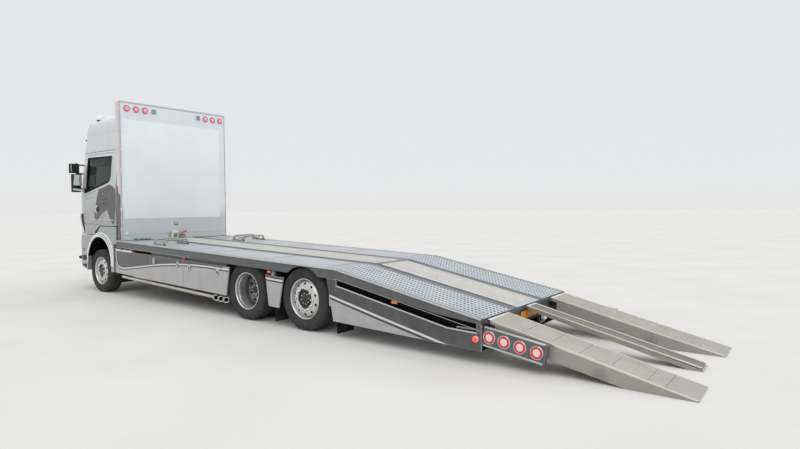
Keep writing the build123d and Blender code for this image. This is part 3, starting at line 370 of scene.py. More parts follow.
def cloth_mat(name, a, b, scale=420.0):
    """Woven upholstery: a real thread grid in the bump, melange colour, soft sheen."""
    m = Mat(name)
    x, y, z = m.xyz()
    u = m.math("SINE", m.math("MULTIPLY", m.math("ADD", x, z), scale * 2))
    v = m.math("SINE", m.math("MULTIPLY", m.math("SUBTRACT", y, z), scale * 2))
    weave = m.math("MULTIPLY", u, v)
    mel = m.noise(160, 3, 0.7)
    base = m.mix(m.rng(mel, 0.35, 0.65), a, b)
    base = m.mix(m.rng(weave, -1, 1, 0, 0.25), base, shade(a, 0.6))
    base = m.mix(m.rng(m.noise(3, 4), 0.5, 0.8, 0, 0.25), base, shade(b, 0.7))
    return m.set(base=base, rough=0.92, normal=m.bump(weave, 0.4, 0.0007), sheen=0.35, sheen_rough=0.5, spec=0.2)


M["seat"] = cloth_mat("seat_cloth", C(70, 74, 82), C(96, 100, 108))
M["bunk"] = cloth_mat("bunk_cloth", C(92, 96, 104), C(120, 122, 128), 300.0)


def floor_mat():
    m = Mat("studio_floor")
    n = m.noise(0.6, 5, 0.5)
    f = m.noise(28, 4, 0.6)
    base = m.mix(m.rng(n, 0.3, 0.7), C(206, 205, 202), C(214, 213, 211))
    base = m.mix(m.rng(f, 0.3, 0.7, 0, 0.15), base, C(196, 195, 192))
    return m.set(base=base, rough=0.9, spec=0.2, normal=m.bump(n, 0.02, 0.002))


# ================================================================ mesh helpers
def axes(origin, zdir, xdir=None):
    """Matrix whose local Z points along zdir."""
    z = Vector(zdir).normalized()
    x = Vector(xdir) if xdir is not None else (Vector((1, 0, 0)) if abs(z.x) < 0.9 else Vector((0, 1, 0)))
    x = (x - z * x.dot(z)).normalized()
    y = z.cross(x)
    return Matrix(((x.x, y.x, z.x, origin[0]), (x.y, y.y, z.y, origin[1]), (x.z, y.z, z.z, origin[2]), (0, 0, 0, 1)))


class Build:
    """Collects closed bits of mesh, then makes one object of them."""

    def __init__(self):
        self.v, self.f, self.m = [], [], []

    def add(self, verts, faces, m=0, M4=None):
        k = len(self.v)
        if M4 is not None:
            verts = [M4 @ Vector(v) for v in verts]
        self.v += [tuple(v) for v in verts]
        self.f += [tuple(i + k for i in f) for f in faces]
        self.m += [m] * len(faces)
        return self

    def _bm(self, bm, m, M4):
        bm.verts.index_update()
        self.add([v.co.copy() for v in bm.verts], [[v.index for v in f.verts] for f in bm.faces], m, M4)
        bm.free()

    def box(self, lo, hi, m=0, c=0.002, M4=None, seg=2):
        bm = bmesh.new()
        bmesh.ops.create_cube(bm, size=1.0)
        lo, hi = Vector(lo), Vector(hi)
        lo, hi = Vector(map(min, lo, hi)), Vector(map(max, lo, hi))
        for v in bm.verts:
            v.co = Vector((lo[i] + (v.co[i] + 0.5) * (hi[i] - lo[i]) for i in range(3)))
        c = min(c, min(hi[i] - lo[i] for i in range(3)) * 0.45)
        if c > 0:
            bmesh.ops.bevel(bm, geom=bm.edges[:], offset=c, segments=seg, profile=0.6, affect="EDGES")
        self._bm(bm, m, M4)
        return self

    def prism(self, poly, lo, hi, axis="y", m=0, c=0.0, M4=None, seg=2, limit=25):
        """A polygon in the two other axes, in their order, drawn out along axis from lo to hi."""
        put = {"y": lambda a, b, t: (a, t, b), "x": lambda a, b, t: (t, a, b), "z": lambda a, b, t: (a, b, t)}[axis]
        bm = bmesh.new()
        n = len(poly)
        a = [bm.verts.new(put(p[0], p[1], lo)) for p in poly]
        b = [bm.verts.new(put(p[0], p[1], hi)) for p in poly]
        bm.faces.new(a)
        bm.faces.new(list(reversed(b)))
        for i in range(n):
            bm.faces.new((a[(i + 1) % n], a[i], b[i], b[(i + 1) % n]))
        bmesh.ops.recalc_face_normals(bm, faces=bm.faces[:])
        if c > 0:
            es = [e for e in bm.edges if len(e.link_faces) == 2 and e.calc_face_angle(0.0) > math.radians(limit)]
            bmesh.ops.bevel(bm, geom=es, offset=c, segments=seg, profile=0.6, affect="EDGES", clamp_overlap=True)
        self._bm(bm, m, M4)
        return self

    def lathe(self, prof, seg=48, m=0, M4=None, closed=False, caps=True, phase=0.0):
        """prof is (radius, height) along local Z; closed joins the last point to the first."""
        n = len(prof)
        vs, fs = [], []
        for k in range(seg):
            a = 2 * PI * k / seg + phase
            ca, sa = math.cos(a), math.sin(a)
            vs += [(r * ca, r * sa, h) for r, h in prof]
        for k in range(seg):
            k2 = (k + 1) % seg
            for i in range(n if closed else n - 1):
                j = (i + 1) % n
                fs.append((k * n + i, k2 * n + i, k2 * n + j, k * n + j))
        if caps and not closed:
            fs.append(tuple(reversed([k * n for k in range(seg)])))
            fs.append(tuple(k * n + n - 1 for k in range(seg)))
        self.add(vs, fs, m, M4)
        return self

    def tube(self, pts, r, seg=12, m=0, closed=False, M4=None):
        """A round bar through pts, turned smoothly; r may be a list."""
        pts = [Vector(p) for p in pts]
        n = len(pts)
        rs = r if isinstance(r, (list, tuple)) else [r] * n
        tang = []
        for i in range(n):
            a = pts[i - 1] if (i or closed) else pts[0]
            b = pts[(i + 1) % n] if (i < n - 1 or closed) else pts[-1]
            tang.append((b - a).normalized())
        ref = Vector((0, 0, 1)) if abs(tang[0].z) < 0.9 else Vector((1, 0, 0))
        u = (ref - tang[0] * ref.dot(tang[0])).normalized()
        vs, fs = [], []
        for i in range(n):
            u = (u - tang[i] * u.dot(tang[i])).normalized()
            w = tang[i].cross(u)
            for k in range(seg):
                a = 2 * PI * k / seg
                vs.append(pts[i] + (u * math.cos(a) + w * math.sin(a)) * rs[i])
        for i in range(n if closed else n - 1):
            j = (i + 1) % n
            for k in range(seg):
                k2 = (k + 1) % seg
                fs.append((i * seg + k, i * seg + k2, j * seg + k2, j * seg + k))
        if not closed:
            fs.append(tuple(reversed(range(seg))))
            fs.append(tuple((n - 1) * seg + k for k in range(seg)))
        self.add(vs, fs, m, M4)
        return self

    def hexbolt(self, at, out, r=0.009, h=0.006, m=0):
        """Bolt head with a washer and a domed top."""
        A = axes(at, out)
        self.lathe([(r * 1.35, 0), (r * 1.35, h * 0.2), (r * 1.2, h * 0.3)], 16, m, A)
        self.lathe([(r, h * 0.25), (r, h * 0.9), (r * 0.8, h), (r * 0.3, h)], 6, m, A)
        return self

    def rivet(self, at, out, r=0.005, m=0):
        A = axes(at, out)
        self.lathe([(r, 0), (r * 0.92, r * 0.3), (r * 0.6, r * 0.55), (r * 0.15, r * 0.62)], 10, m, A)
        return self

    def done(self, name, mats, body=None, smooth=38, at=None, weld=True):
        me = bpy.data.meshes.new(name)
        me.from_pydata(self.v, [], self.f)
        mats = mats if isinstance(mats, (list, tuple)) else [mats]
        for mt in mats:
            me.materials.append(M[mt] if isinstance(mt, str) else mt)
        me.polygons.foreach_set("material_index", self.m)
        if weld:
            bm = bmesh.new()
            bm.from_mesh(me)
            bmesh.ops.remove_doubles(bm, verts=bm.verts[:], dist=2e-6)
            bmesh.ops.recalc_face_normals(bm, faces=bm.faces[:])
            bm.to_mesh(me)
            bm.free()
        me.shade_smooth()
        me.set_sharp_from_angle(angle=math.radians(smooth))
        me.update()
        o = bpy.data.objects.new(name, me)
        if at is not None:
            o.location = at
        bpy.context.scene.collection.objects.link(o)
        if body:
            bpy.context.view_layer.update()
            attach(o, body)
        return o


def inside(p, poly):
    x, y = p
    c = False
    j = len(poly) - 1
    for i in range(len(poly)):
        (xi, yi), (xj, yj) = poly[i], poly[j]
        if (yi > y) != (yj > y) and x < (xj - xi) * (y - yi) / (yj - yi) + xi:
            c = not c
        j = i
    return c


def plate(outer, holes=(), extra=(), rings=()):
    """Triangles of a flat outline with holes: returns 2-D points and faces, with the outline loops as index lists."""
    pts, edges, loops = [], [], []
    for lp in [outer, *holes]:
        k = len(pts)
        pts += [Vector(p) for p in lp]
        edges += [(k + i, k + (i + 1) % len(lp)) for i in range(len(lp))]
        loops.append([k + i for i in range(len(lp))])
    for lp in rings:
        k = len(pts)
        pts += [Vector(p) for p in lp]
        edges += [(k + i, k + (i + 1) % len(lp)) for i in range(len(lp))]
    pts += [Vector(p) for p in extra]
    vs, es, fs, ov, oe, of_ = delaunay_2d_cdt(pts, edges, [], 0, 1e-7)
    back = {}
    for i, src in enumerate(ov):
        for s in src:
            back[s] = i
    out = []
    for f in fs:
        c = sum((vs[i] for i in f), Vector((0, 0))) / len(f)
        if inside(c, outer) and not any(inside(c, h) for h in holes):
            out.append(tuple(f))
    return [tuple(v) for v in vs], out, [[back[i] for i in lp] for lp in loops]


def slab(b, outer, holes, top, bottom, m=0, rings=(), extra=(), M4=None):
    """A plate with thickness: top and bottom turn a 2-D point into a 3-D one."""
    vs, fs, loops = plate(outer, holes, extra, rings)
    n = len(vs)
    v3 = [top(p) for p in vs] + [bottom(p) for p in vs]
    faces = [f for f in fs] + [tuple(i + n for i in reversed(f)) for f in fs]
    for lp in loops:
        for i in range(len(lp)):
            a, c = lp[i], lp[(i + 1) % len(lp)]
            faces.append((a, a + n, c + n, c))
    b.add(v3, faces, m, M4)


def circle(cx, cy, r, n, r2=None, phase=0.0, turn=0.0):
    r2 = r if r2 is None else r2
    ct, st = math.cos(turn), math.sin(turn)
    out = []
    for k in range(n):
        a = 2 * PI * k / n + phase
        u, v = r * math.cos(a), r2 * math.sin(a)
        out.append((cx + u * ct - v * st, cy + u * st + v * ct))
    return out


def rounded(pts, r, n=5):
    """The polygon with every corner rounded by about r (a list gives one per corner)."""
    out = []
    k = len(pts)
    rs = r if isinstance(r, (list, tuple)) else [r] * k
    for i in range(k):
        p, a, b = Vector(pts[i]), Vector(pts[i - 1]), Vector(pts[(i + 1) % k])
        if rs[i] <= 0:
            out.append(tuple(p))
            continue
        da, db = (a - p), (b - p)
        q = min(rs[i], da.length * 0.45, db.length * 0.45)
        s, e = p + da.normalized() * q, p + db.normalized() * q
        for t in range(n + 1):
            t /= n
            out.append(tuple((1 - t) ** 2 * s + 2 * t * (1 - t) * p + t * t * e))
    return out


def lerp_table(tab, x):
    if x <= tab[0][0]:
        return tab[0][1]
    for (a, u), (b, v) in zip(tab, tab[1:]):
        if x <= b:
            return u + (v - u) * (x - a) / (b - a)
    return tab[-1][1]


def dress(node, mats, bevel=0.0, seg=2, angle=32):
    """Gives a CAD node its finish, and soft edges through modifiers, with its mesh left as it is."""
    o = NODES[node]
    mats = mats if isinstance(mats, (list, tuple)) else [mats]
    o.data.materials.clear()
    for mt in mats:
        o.data.materials.append(M[mt] if isinstance(mt, str) else mt)
    if bevel > 0:
        w = o.modifiers.new("weld", "WELD")
        w.merge_threshold = 1e-5
        bv = o.modifiers.new("bevel", "BEVEL")
        bv.width, bv.segments, bv.limit_method, bv.angle_limit = bevel, seg, "ANGLE", math.radians(angle)
        bv.use_clamp_overlap, bv.harden_normals = False, False
        bv.miter_outer = "MITER_ARC"
        n = o.modifiers.new("normals", "WEIGHTED_NORMAL")
        n.keep_sharp = False
    return o


def deck_z(x):
    return 0.940 + (x + 2.007) * (0.0335 if x >= -2.007 else 0.428 / 2.273)


# ================================================================ stage, light, camera
def stage():
    me = bpy.data.meshes.new("floor")
    n, s = 24, 260.0
    vs = [(-s + 2 * s * i / n, -s + 2 * s * j / n, 0.0) for j in range(n + 1) for i in range(n + 1)]
    fs = [(j * (n + 1) + i, j * (n + 1) + i + 1, (j + 1) * (n + 1) + i + 1, (j + 1) * (n + 1) + i) for j in range(n) for i in range(n)]
    me.from_pydata(vs, [], fs)
    me.materials.append(floor_mat())
    o = bpy.data.objects.new("floor", me)
    o.location = (0, 0, -0.0008)
    bpy.context.scene.collection.objects.link(o)

    sc = bpy.context.scene
    w = bpy.data.worlds.new("studio")
    sc.world = w
    w.use_nodes = True
    t = w.node_tree
    t.nodes.clear()
    out = t.nodes.new("ShaderNodeOutputWorld")
    bg = t.nodes.new("ShaderNodeBackground")
    tc = t.nodes.new("ShaderNodeTexCoord")
    sep = t.nodes.new("ShaderNodeSeparateXYZ")
    t.links.new(tc.outputs["Generated"], sep.inputs[0])
    rp = t.nodes.new("ShaderNodeValToRGB")
    t.links.new(sep.outputs[2], rp.inputs[0])
    el = rp.color_ramp.elements
    while len(el) < 4:
        el.new(0.5)
    for e, (p, c) in zip(el, [(0.0, C(246, 246, 246)), (0.04, C(246, 247, 248)), (0.35, C(244, 245, 247)), (1.0, C(252, 252, 253))]):
        e.position, e.color = p, c
    t.links.new(rp.outputs[0], bg.inputs[0])
    bg.inputs[1].default_value = 0.86
    t.links.new(bg.outputs[0], out.inputs[0])

    def sun(name, way, power, spread, col=(1, 1, 1)):
        ld = bpy.data.lights.new(name, "SUN")
        ld.energy, ld.angle, ld.color = power, math.radians(spread), col
        lo = bpy.data.objects.new(name, ld)
        lo.matrix_world = axes((0, 0, 12), way)
        sc.collection.objects.link(lo)

    sun("soft_key", (-0.45, 0.55, 1.0), 1.15, 70)
    sun("soft_top", (0.2, -0.25, 1.0), 0.55, 110, (0.97, 0.98, 1.0))

    cd = bpy.data.cameras.new("photo_camera")
    cd.sensor_fit, cd.sensor_width = "HORIZONTAL", 36.0
    cd.lens = 547.165 * 36.0 / 800.0
    cd.clip_start, cd.clip_end = 0.1, 600.0
    co = bpy.data.objects.new("photo_camera", cd)
    yaw, pitch, roll = -0.650, -0.031, -0.008
    d = Vector((math.sin(-yaw) * math.cos(pitch), -math.cos(-yaw) * math.cos(pitch), math.sin(pitch)))
    right = d.cross(Vector((0, 0, 1))).normalized()
    up = right.cross(d)
    r2 = right * math.cos(roll) + up * math.sin(roll)
    u2 = -right * math.sin(roll) + up * math.cos(roll)
    P = (-7.262, 6.689, 1.782)
    co.matrix_world = Matrix(((r2.x, u2.x, -d.x, P[0]), (r2.y, u2.y, -d.y, P[1]), (r2.z, u2.z, -d.z, P[2]), (0, 0, 0, 1)))
    sc.collection.objects.link(co)
    sc.camera = co
    sc.view_settings.view_transform = "Standard"
    sc.view_settings.look = "None"
    sc.view_settings.exposure = 0.0


stage()


# ================================================================ wheels
HUB_Z = 0.463


def tyre(b, mid, aggressive):
    """A closed tyre round local Z, its middle at height mid: ribbed tread with cross sipes as real geometry."""
    half = [(0.2865, 0.100, 0), (0.2875, 0.112, 0), (0.294, 0.1205, 0), (0.303, 0.1235, 0), (0.306, 0.127, 0), (0.313, 0.1275, 0),
            (0.316, 0.131, 0), (0.335, 0.1375, 0), (0.360, 0.1428, 0), (0.385, 0.1438, 0), (0.404, 0.1412, 0), (0.406, 0.1422, 0),
            (0.412, 0.1412, 0), (0.414, 0.1395, 0), (0.430, 0.1372, 0), (0.444, 0.1335, 1), (0.4525, 0.1275, 1), (0.4565, 0.1195, 1)]

    def crown(h):
        return 0.463 - (h / 0.12) ** 2 * 0.0058

    prof = list(half)
    for g in (0.0745, 0.0255, -0.0255, -0.0745):
        for dh, dr, fl in ((0.0056, 0, 1), (0.0036, 0.013, 0), (-0.0036, 0.013, 0), (-0.0056, 0, 1)):
            prof.append((crown(g + dh) - dr, g + dh, fl))
        if g != -0.0745:
            c = g - 0.0250
            prof.append((crown(c), c, 1))
    prof += [(r, -h, f) for r, h, f in reversed(half)]
    lugs = 58 if aggressive else 72
    steps = [(0.0, 0), (0.78 if aggressive else 0.86, 0), (0.82 if aggressive else 0.885, 1), (0.96 if aggressive else 0.975, 1)]
    angs = [((k + s) / lugs * 2 * PI, rec) for k in range(lugs) for s, rec in steps]
    n = len(prof)
    vs, fs = [], []
    for a, rec in angs:
        for r, h, fl in prof:
            sk = a + (h * 0.55 if aggressive and fl else 0.0)
            if rec and fl:
                r -= (0.010 if abs(h) > 0.08 else 0.008) if aggressive else (0.006 if abs(h) > 0.105 else 0.0025)
            vs.append((r * math.cos(sk), r * math.sin(sk), h + mid))
    k = len(angs)
    for i in range(k):
        i2 = (i + 1) % k
        for j in range(n):
            j2 = (j + 1) % n
            fs.append((i * n + j, i2 * n + j, i2 * n + j2, i * n + j2))
    return vs, fs


BARREL = [(0.286, 0.109), (0.2975, 0.1105), (0.2990, 0.1160), (0.2982, 0.1215), (0.294, 0.1240), (0.288, 0.1225), (0.2830, 0.1165),
          (0.2800, 0.108), (0.2785, 0.096), (0.2775, 0.080), (0.270, 0.068), (0.2665, 0.055), (0.2655, 0.02), (0.2655, -0.04), (0.268, -0.056),
          (0.2775, -0.070), (0.2790, -0.100), (0.2815, -0.113), (0.288, -0.1225), (0.294, -0.1240), (0.2982, -0.1215), (0.2990, -0.1160),
          (0.2975, -0.1105), (0.2860, -0.109), (0.2850, -0.09), (0.2850, 0.0), (0.2850, 0.09)]

DISC_OUT = [(0.1405, 0.1105), (0.1425, 0.1140), (0.1450, 0.1185), (0.1755, 0.1190), (0.1775, 0.1150), (0.190, 0.1135), (0.205, 0.1115),
            (0.225, 0.1060), (0.243, 0.0960), (0.2525, 0.0850), (0.259, 0.0700), (0.2662, 0.0520)]
DISC_DEEP = [(0.1405, -0.1540), (0.1430, -0.1530), (0.175, -0.1525), (0.195, -0.1500), (0.215, -0.1440), (0.235, -0.1320), (0.247, -0.1160),
             (0.256, -0.0930), (0.2620, -0.0700), (0.2662, -0.0500)]


def disc(b, table, thick, m=0, flip=1, mid=0.0, rings=(0.1425, 0.1450, 0.1755, 0.1775, 0.190, 0.205, 0.243, 0.2525, 0.259)):
    """The wheel's disc with ten real hand holes; flip -1 turns it inwards."""
    outer = circle(0, 0, 0.2662, 120)
    holes = [circle(0, 0, 0.1405, 60)]
    for k in range(10):
        a = 2 * PI * (k + 0.5) / 10
        holes.append(circle(0.2235 * math.cos(a), 0.2235 * math.sin(a), 0.0175, 18, 0.0225, turn=a))
    rg = [circle(0, 0, r, 96) for r in rings]

    def top(p):
        return (p[0], p[1], mid + flip * lerp_table(table, math.hypot(*p)))

    def bottom(p):
        return (p[0], p[1], mid + flip * (lerp_table(table, math.hypot(*p)) - thick))

    slab(b, outer, holes, top, bottom, m, rg)


def wheel_nuts(b, z, r, flip=1, m=1):
    for k in range(10):
        a = 2 * PI * k / 10
        A = axes((r * math.cos(a), r * math.sin(a), z), (0, 0, flip))
        b.lathe([(0.0205, 0), (0.0205, 0.004), (0.0185, 0.006)], 20, m, A)
        b.lathe([(0.0165, 0.004), (0.0165, 0.020), (0.0145, 0.024), (0.0115, 0.0245)], 6, m, A, phase=a)
        b.lathe([(0.0105, 0.020), (0.0105, 0.032), (0.0085, 0.034)], 12, m, A)


def make_wheel(tag, x, y, side, body, kind):
    """kind: single, or dual, whose outer wheel is dished towards the twin inside it."""
    L = Matrix(((1, 0, 0, 0), (0, 0, side, 0), (0, -side, 0, 0), (0, 0, 0, 1)))
    dual = kind == "dual"
    mids = (0.0, -0.330) if dual else (0.0,)
    t = Build()
    for mid in mids:
        vs, fs = tyre(None, mid, dual)
        t.add(vs, fs, 0, L)
    o = t.done(tag + "_tyre_look", "tyre", body, 34, (x, y, HUB_Z))
    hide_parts(tag + "_tyre")

    b = Build()
    b.lathe(BARREL, 128, 4, L, closed=True)
    if dual:
        b.lathe([(r, h - 0.330) for r, h in BARREL], 128, 4, L, closed=True)
    s = Build()
    if not dual:
        disc(s, DISC_OUT, 0.010)
        wheel_nuts(s, 0.1190, 0.1600)
        s.lathe([(0.1405, 0.094), (0.139, 0.096), (0.110, 0.0945), (0.1080, 0.088), (0.096, 0.086)], 64, 2, None, caps=False)
        s.lathe([(0.096, 0.060), (0.096, 0.100), (0.0925, 0.106), (0.088, 0.1085), (0.066, 0.1100), (0.064, 0.1125), (0.030, 0.1140), (0.004, 0.1142)], 56, 2)
        for k in range(8):
            a = 2 * PI * k / 8 + 0.2
            s.hexbolt((0.078 * math.cos(a), 0.078 * math.sin(a), 0.1085), (0, 0, 1), 0.0068, 0.0055, 1)
        s.lathe([(0.139, 0.02), (0.139, 0.085), (0.12, 0.088), (0.02, 0.088)], 48, 2)
    else:
        disc(s, DISC_DEEP, 0.010, 3)
        disc(s, DISC_DEEP, 0.010, 3, -1, -0.330)
        wheel_nuts(s, -0.1530, 0.1600)
        s.lathe([(0.139, -0.21), (0.139, -0.150), (0.128, -0.144), (0.112, -0.142), (0.104, -0.130), (0.100, -0.085), (0.094, -0.078),
                 (0.093, -0.056), (0.088, -0.050), (0.060, -0.0465), (0.058, -0.044), (0.004, -0.0425)], 56, 2)
        for k in range(8):
            a = 2 * PI * k / 8 + 0.3
            s.hexbolt((0.075 * math.cos(a), 0.075 * math.sin(a), -0.0485), (0, 0, 1), 0.0085, 0.0075, 1)
            s.lathe([(0.012, -0.150), (0.012, -0.100), (0.009, -0.096)], 10, 1,
                    Matrix.Translation((0.118 * math.cos(a), 0.118 * math.sin(a), 0)))
    b.add(s.v, s.f, 0, L)
    b.m[-len(s.m):] = s.m
    # valve stem
    b.tube([L @ Vector(p) for p in ((0.0, 0.262, 0.045), (0.0, 0.245, 0.075), (0.0, 0.238, 0.118))] if not dual else
           [L @ Vector(p) for p in ((0.0, 0.262, -0.03), (0.0, 0.246, 0.0), (0.0, 0.240, 0.05))], [0.004, 0.0042, 0.0036], 8, 1)
    o = b.done(tag + "_rim_look", ["wheel", "chrome", "hub", "disc", "barrel"], body, 32, (x, y, HUB_Z))
    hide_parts(tag + "_rim")


for sd, nm in ((1, "left"), (-1, "right")):
    make_wheel("front_wheel_" + nm, 5.1, sd * 1.050, sd, "front_wheel_" + nm, "single")
    make_wheel("drive_wheels_" + nm, 0.0, sd * 1.096, sd, "drive_wheels_" + nm, "dual")
    make_wheel("tag_wheel_" + nm, -1.35, sd * 1.104, sd, "tag_wheel_" + nm, "single")


# ================================================================ deck
PERF_FRONT, DECK_FRONT, DECK_BACK = -1.752, 4.009, -4.280
KINK = -2.007
SEAMS = [3.655, 2.305, 0.950, -0.400]


def deck_quad(b, x0, x1, y0, y1, z_off, thick, m=0, c=0.0015, steps=1):
    """A slab that follows the deck from x0 to x1."""
    xs = [x0 + (x1 - x0) * i / steps for i in range(steps + 1)]
    if min(x0, x1) < KINK < max(x0, x1):
        xs = sorted(set(xs + [KINK]))
    top = [(x, deck_z(x) + z_off) for x in xs]
    bot = [(x, deck_z(x) + z_off - thick) for x in reversed(xs)]
    b.prism(top + bot, y0, y1, "y", m, c)


def side_tracks():
    for sd, nm in ((1, "left"), (-1, "right")):
        y0, y1 = sorted((sd * 0.5005, sd * 1.1985))
        p = Build()
        edges = [DECK_FRONT - 0.0005] + SEAMS + [PERF_FRONT]
        for a, c in zip(edges, edges[1:]):
            deck_quad(p, a - 0.002, c + 0.002, y0, y1, 0.0, 0.012, 0, 0.0018)
            # countersunk screws along both ends of a panel
            for xx in (a - 0.030, c + 0.030):
                for yy in (0.545, 0.70, 0.85, 1.0, 1.155):
                    A = axes((xx, sd * yy, deck_z(xx) - 0.0006), (-0.0335, 0, 1))
                    p.lathe([(0.0085, 0), (0.0085, 0.0012), (0.006, 0.0018), (0.003, 0.0009), (0.001, 0.0009)], 14, 1, A)
        for x in SEAMS:  # grimy joint between two panels
            deck_quad(p, x + 0.0065, x - 0.0065, y0, y1, 0.0009, 0.003, 3, 0.0)
        deck_quad(p, PERF_FRONT + 0.004, PERF_FRONT - 0.006, y0, y1, 0.0009, 0.003, 3, 0.0)
        # edge beads: the panel's rolled long edges
        for yy in (0.508, 1.191):
            deck_quad(p, DECK_FRONT - 0.003, PERF_FRONT + 0.003, sd * yy - 0.004, sd * yy + 0.004, 0.0022, 0.006, 0, 0.0018)
        # perforated beavertail planks
        q = p
        pitch, rows = 0.0505, 8
        ncol = int((PERF_FRONT - 0.004 - DECK_BACK) / pitch)
        x_lo = DECK_BACK + 0.0005
        x_hi = PERF_FRONT - 0.004
        px = (x_hi - x_lo) / ncol
        py = 0.698 / rows
        seg = 12
        hole, rim, foot, lift, th = 0.0162, 0.0192, 0.0236, 0.0034, 0.005
        for i in range(ncol):
            cx = x_lo + (i + 0.5) * px
            for j in range(rows):
                cy = sd * (0.501 + (j + 0.5) * py)
                vs, fs = [], []

                def ring(r, dz, under=False):
                    k = len(vs)
                    for s in range(seg):
                        a = 2 * PI * (s + 0.5) / seg
                        x, y = cx + r * math.cos(a), cy + r * math.sin(a)
                        vs.append((x, y, deck_z(x) + dz))
                    return k

                def square(dz):
                    k = len(vs)
                    hx, hy = px / 2, py / 2
                    for s in range(seg):
                        a = 2 * PI * (s + 0.5) / seg
                        ca, sa = math.cos(a), math.sin(a)
                        t = min(hx / max(abs(ca), 1e-9), hy / max(abs(sa), 1e-9))
                        if s in (1, 4, 7, 10):  # the four corners of the cell
                            x, y = cx + math.copysign(hx, ca), cy + math.copysign(hy, sa)
                        else:
                            x, y = cx + t * ca, cy + t * sa
                        vs.append((x, y, deck_z(x) + dz))
                    return k

                rows_ = [square(0.0), ring(foot, 0.0003), ring(rim, lift), ring(hole, lift - 0.0004), ring(hole, -th), square(-th)]
                for k, (a, c) in enumerate(zip(rows_, rows_[1:])):
                    for s in range(seg):
                        s2 = (s + 1) % seg
                        fs.append((a + s, a + s2, c + s2, c + s))
                q.add(vs, fs, 2)
                for s in range(seg):  # the hole's wall is painted dark as shade
                    q.m[-3 * seg + s + seg] = 3
        # the planks' folded long edges and the bearers under them
        for yy in (0.5035, 1.1955):
            deck_quad(q, x_hi, x_lo, sd * yy - 0.003, sd * yy + 0.003, 0.0, 0.030, 2, 0.001)
        for k in range(1, 8):
            yy = sd * (0.501 + k * py)
            deck_quad(q, x_hi, x_lo, yy - 0.0016, yy + 0.0016, -0.0042, 0.022, 2, 0.0)
        for xx in (x_hi - 0.004, x_lo + 0.004):
            q.box((xx - 0.003, y0, deck_z(xx) - 0.034), (xx + 0.003, y1, deck_z(xx) - 0.0015), 2, 0.001)
        o = p.done("side_track_" + nm, ["track", "zinc", "perf", "joint_grime_and_hole_shade"], "chassis", 30, weld=True)
        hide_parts("deck_side_tracks")


def centre_track():
    b = Build()
    # lower strips each side, 6 mm under the deck
    for sd in (1, -1):
        y0, y1 = sorted((sd * 0.331, sd * 0.4985))
        for a, c in ((DECK_FRONT - 0.001, 1.62), (1.612, KINK + 0.003), (KINK - 0.003, DECK_BACK + 0.001)):
            deck_quad(b, a, c, y0, y1, -0.006, 0.010, 0, 0.001)
        for yy in (0.343, 0.4885):  # upturned edge beads of the strip
            deck_quad(b, DECK_FRONT - 0.002, DECK_BACK + 0.002, sd * yy - 0.0035, sd * yy + 0.0035, -0.0022, 0.006, 0, 0.001)
    # boards
    for a, c in ((DECK_FRONT - 0.002, KINK + 0.055), (KINK - 0.055, DECK_BACK + 0.075)):
        for k in range(7):
            y = -0.329 + k * 0.094
            deck_quad(b, a, c, y + 0.0012, y + 0.0928, 0.004, 0.014, 1, 0.0015)
        for k in range(7):  # fine raised ribs that give the boards their lengthwise lines
            for r in range(6):
                y = -0.329 + k * 0.094 + 0.012 + r * 0.014
                deck_quad(b, a - 0.004, c + 0.004, y - 0.0026, y + 0.0026, 0.0052, 0.004, 1, 0.0)
    # dark cross joint over the kink and the tail plate
    deck_quad(b, KINK + 0.052, KINK - 0.052, -0.3305, 0.3305, 0.001, 0.010, 0, 0.001)
    deck_quad(b, DECK_BACK + 0.072, DECK_BACK + 0.001, -0.3305, 0.3305, 0.002, 0.012, 2, 0.001)
    for yy in (-0.28, -0.14, 0.0, 0.14, 0.28):
        for xx in (KINK + 0.03, KINK - 0.03):
            b.hexbolt((xx, yy, deck_z(xx) + 0.0008), (0, 0, 1), 0.0065, 0.003, 2)
    o = b.done("centre_track_boards", ["strip", "plank", "perf"], "chassis", 30)
    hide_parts("deck_centre_track")


side_tracks()
centre_track()


def rail_details():
    """Bright lip, web line and rounded beads on the side rails."""
    b = Build()
    for sd in (1, -1):
        y = 1.2752
        xs = [4.188, 3.0, 1.5, 0.0, -1.2, KINK, -3.0, -4.278]
        for z0, z1, out, m in ((0.004, -0.012, 0.0022, 0), (-0.024, -0.028, 0.0006, 1), (-0.126, -0.134, 0.0012, 2)):
            seg = xs if z0 > -0.1 else [v for v in xs if v > 0.55 or v < -1.9]
            for a, c in zip(xs, xs[1:]):
                if z0 < -0.1 and (c < 0.5 and a > -1.95):
                    continue
                poly = [(a, deck_z(a) + z0), (c, deck_z(c) + z0), (c, deck_z(c) + z1), (a, deck_z(a) + z1)]
                b.prism(poly, sd * (y - 0.0010), sd * (y + out), "y", m, 0.0006)
        # rounded top bead
        b.tube([(x, sd * 1.2640, deck_z(x) + 0.0028) for x in xs], 0.0055, 10, 0)
        b.tube([(x, sd * 1.2080, deck_z(x) + 0.0015) for x in xs], 0.0045, 8, 0)
    b.done("rail_trim", ["alu", "black", "zinc"], "chassis", 35)


rail_details()


# ================================================================ ramps
def ramp_z(x, d=0.0):
    return 0.505 + (x + 4.310) * (0.499 / 2.140) - d


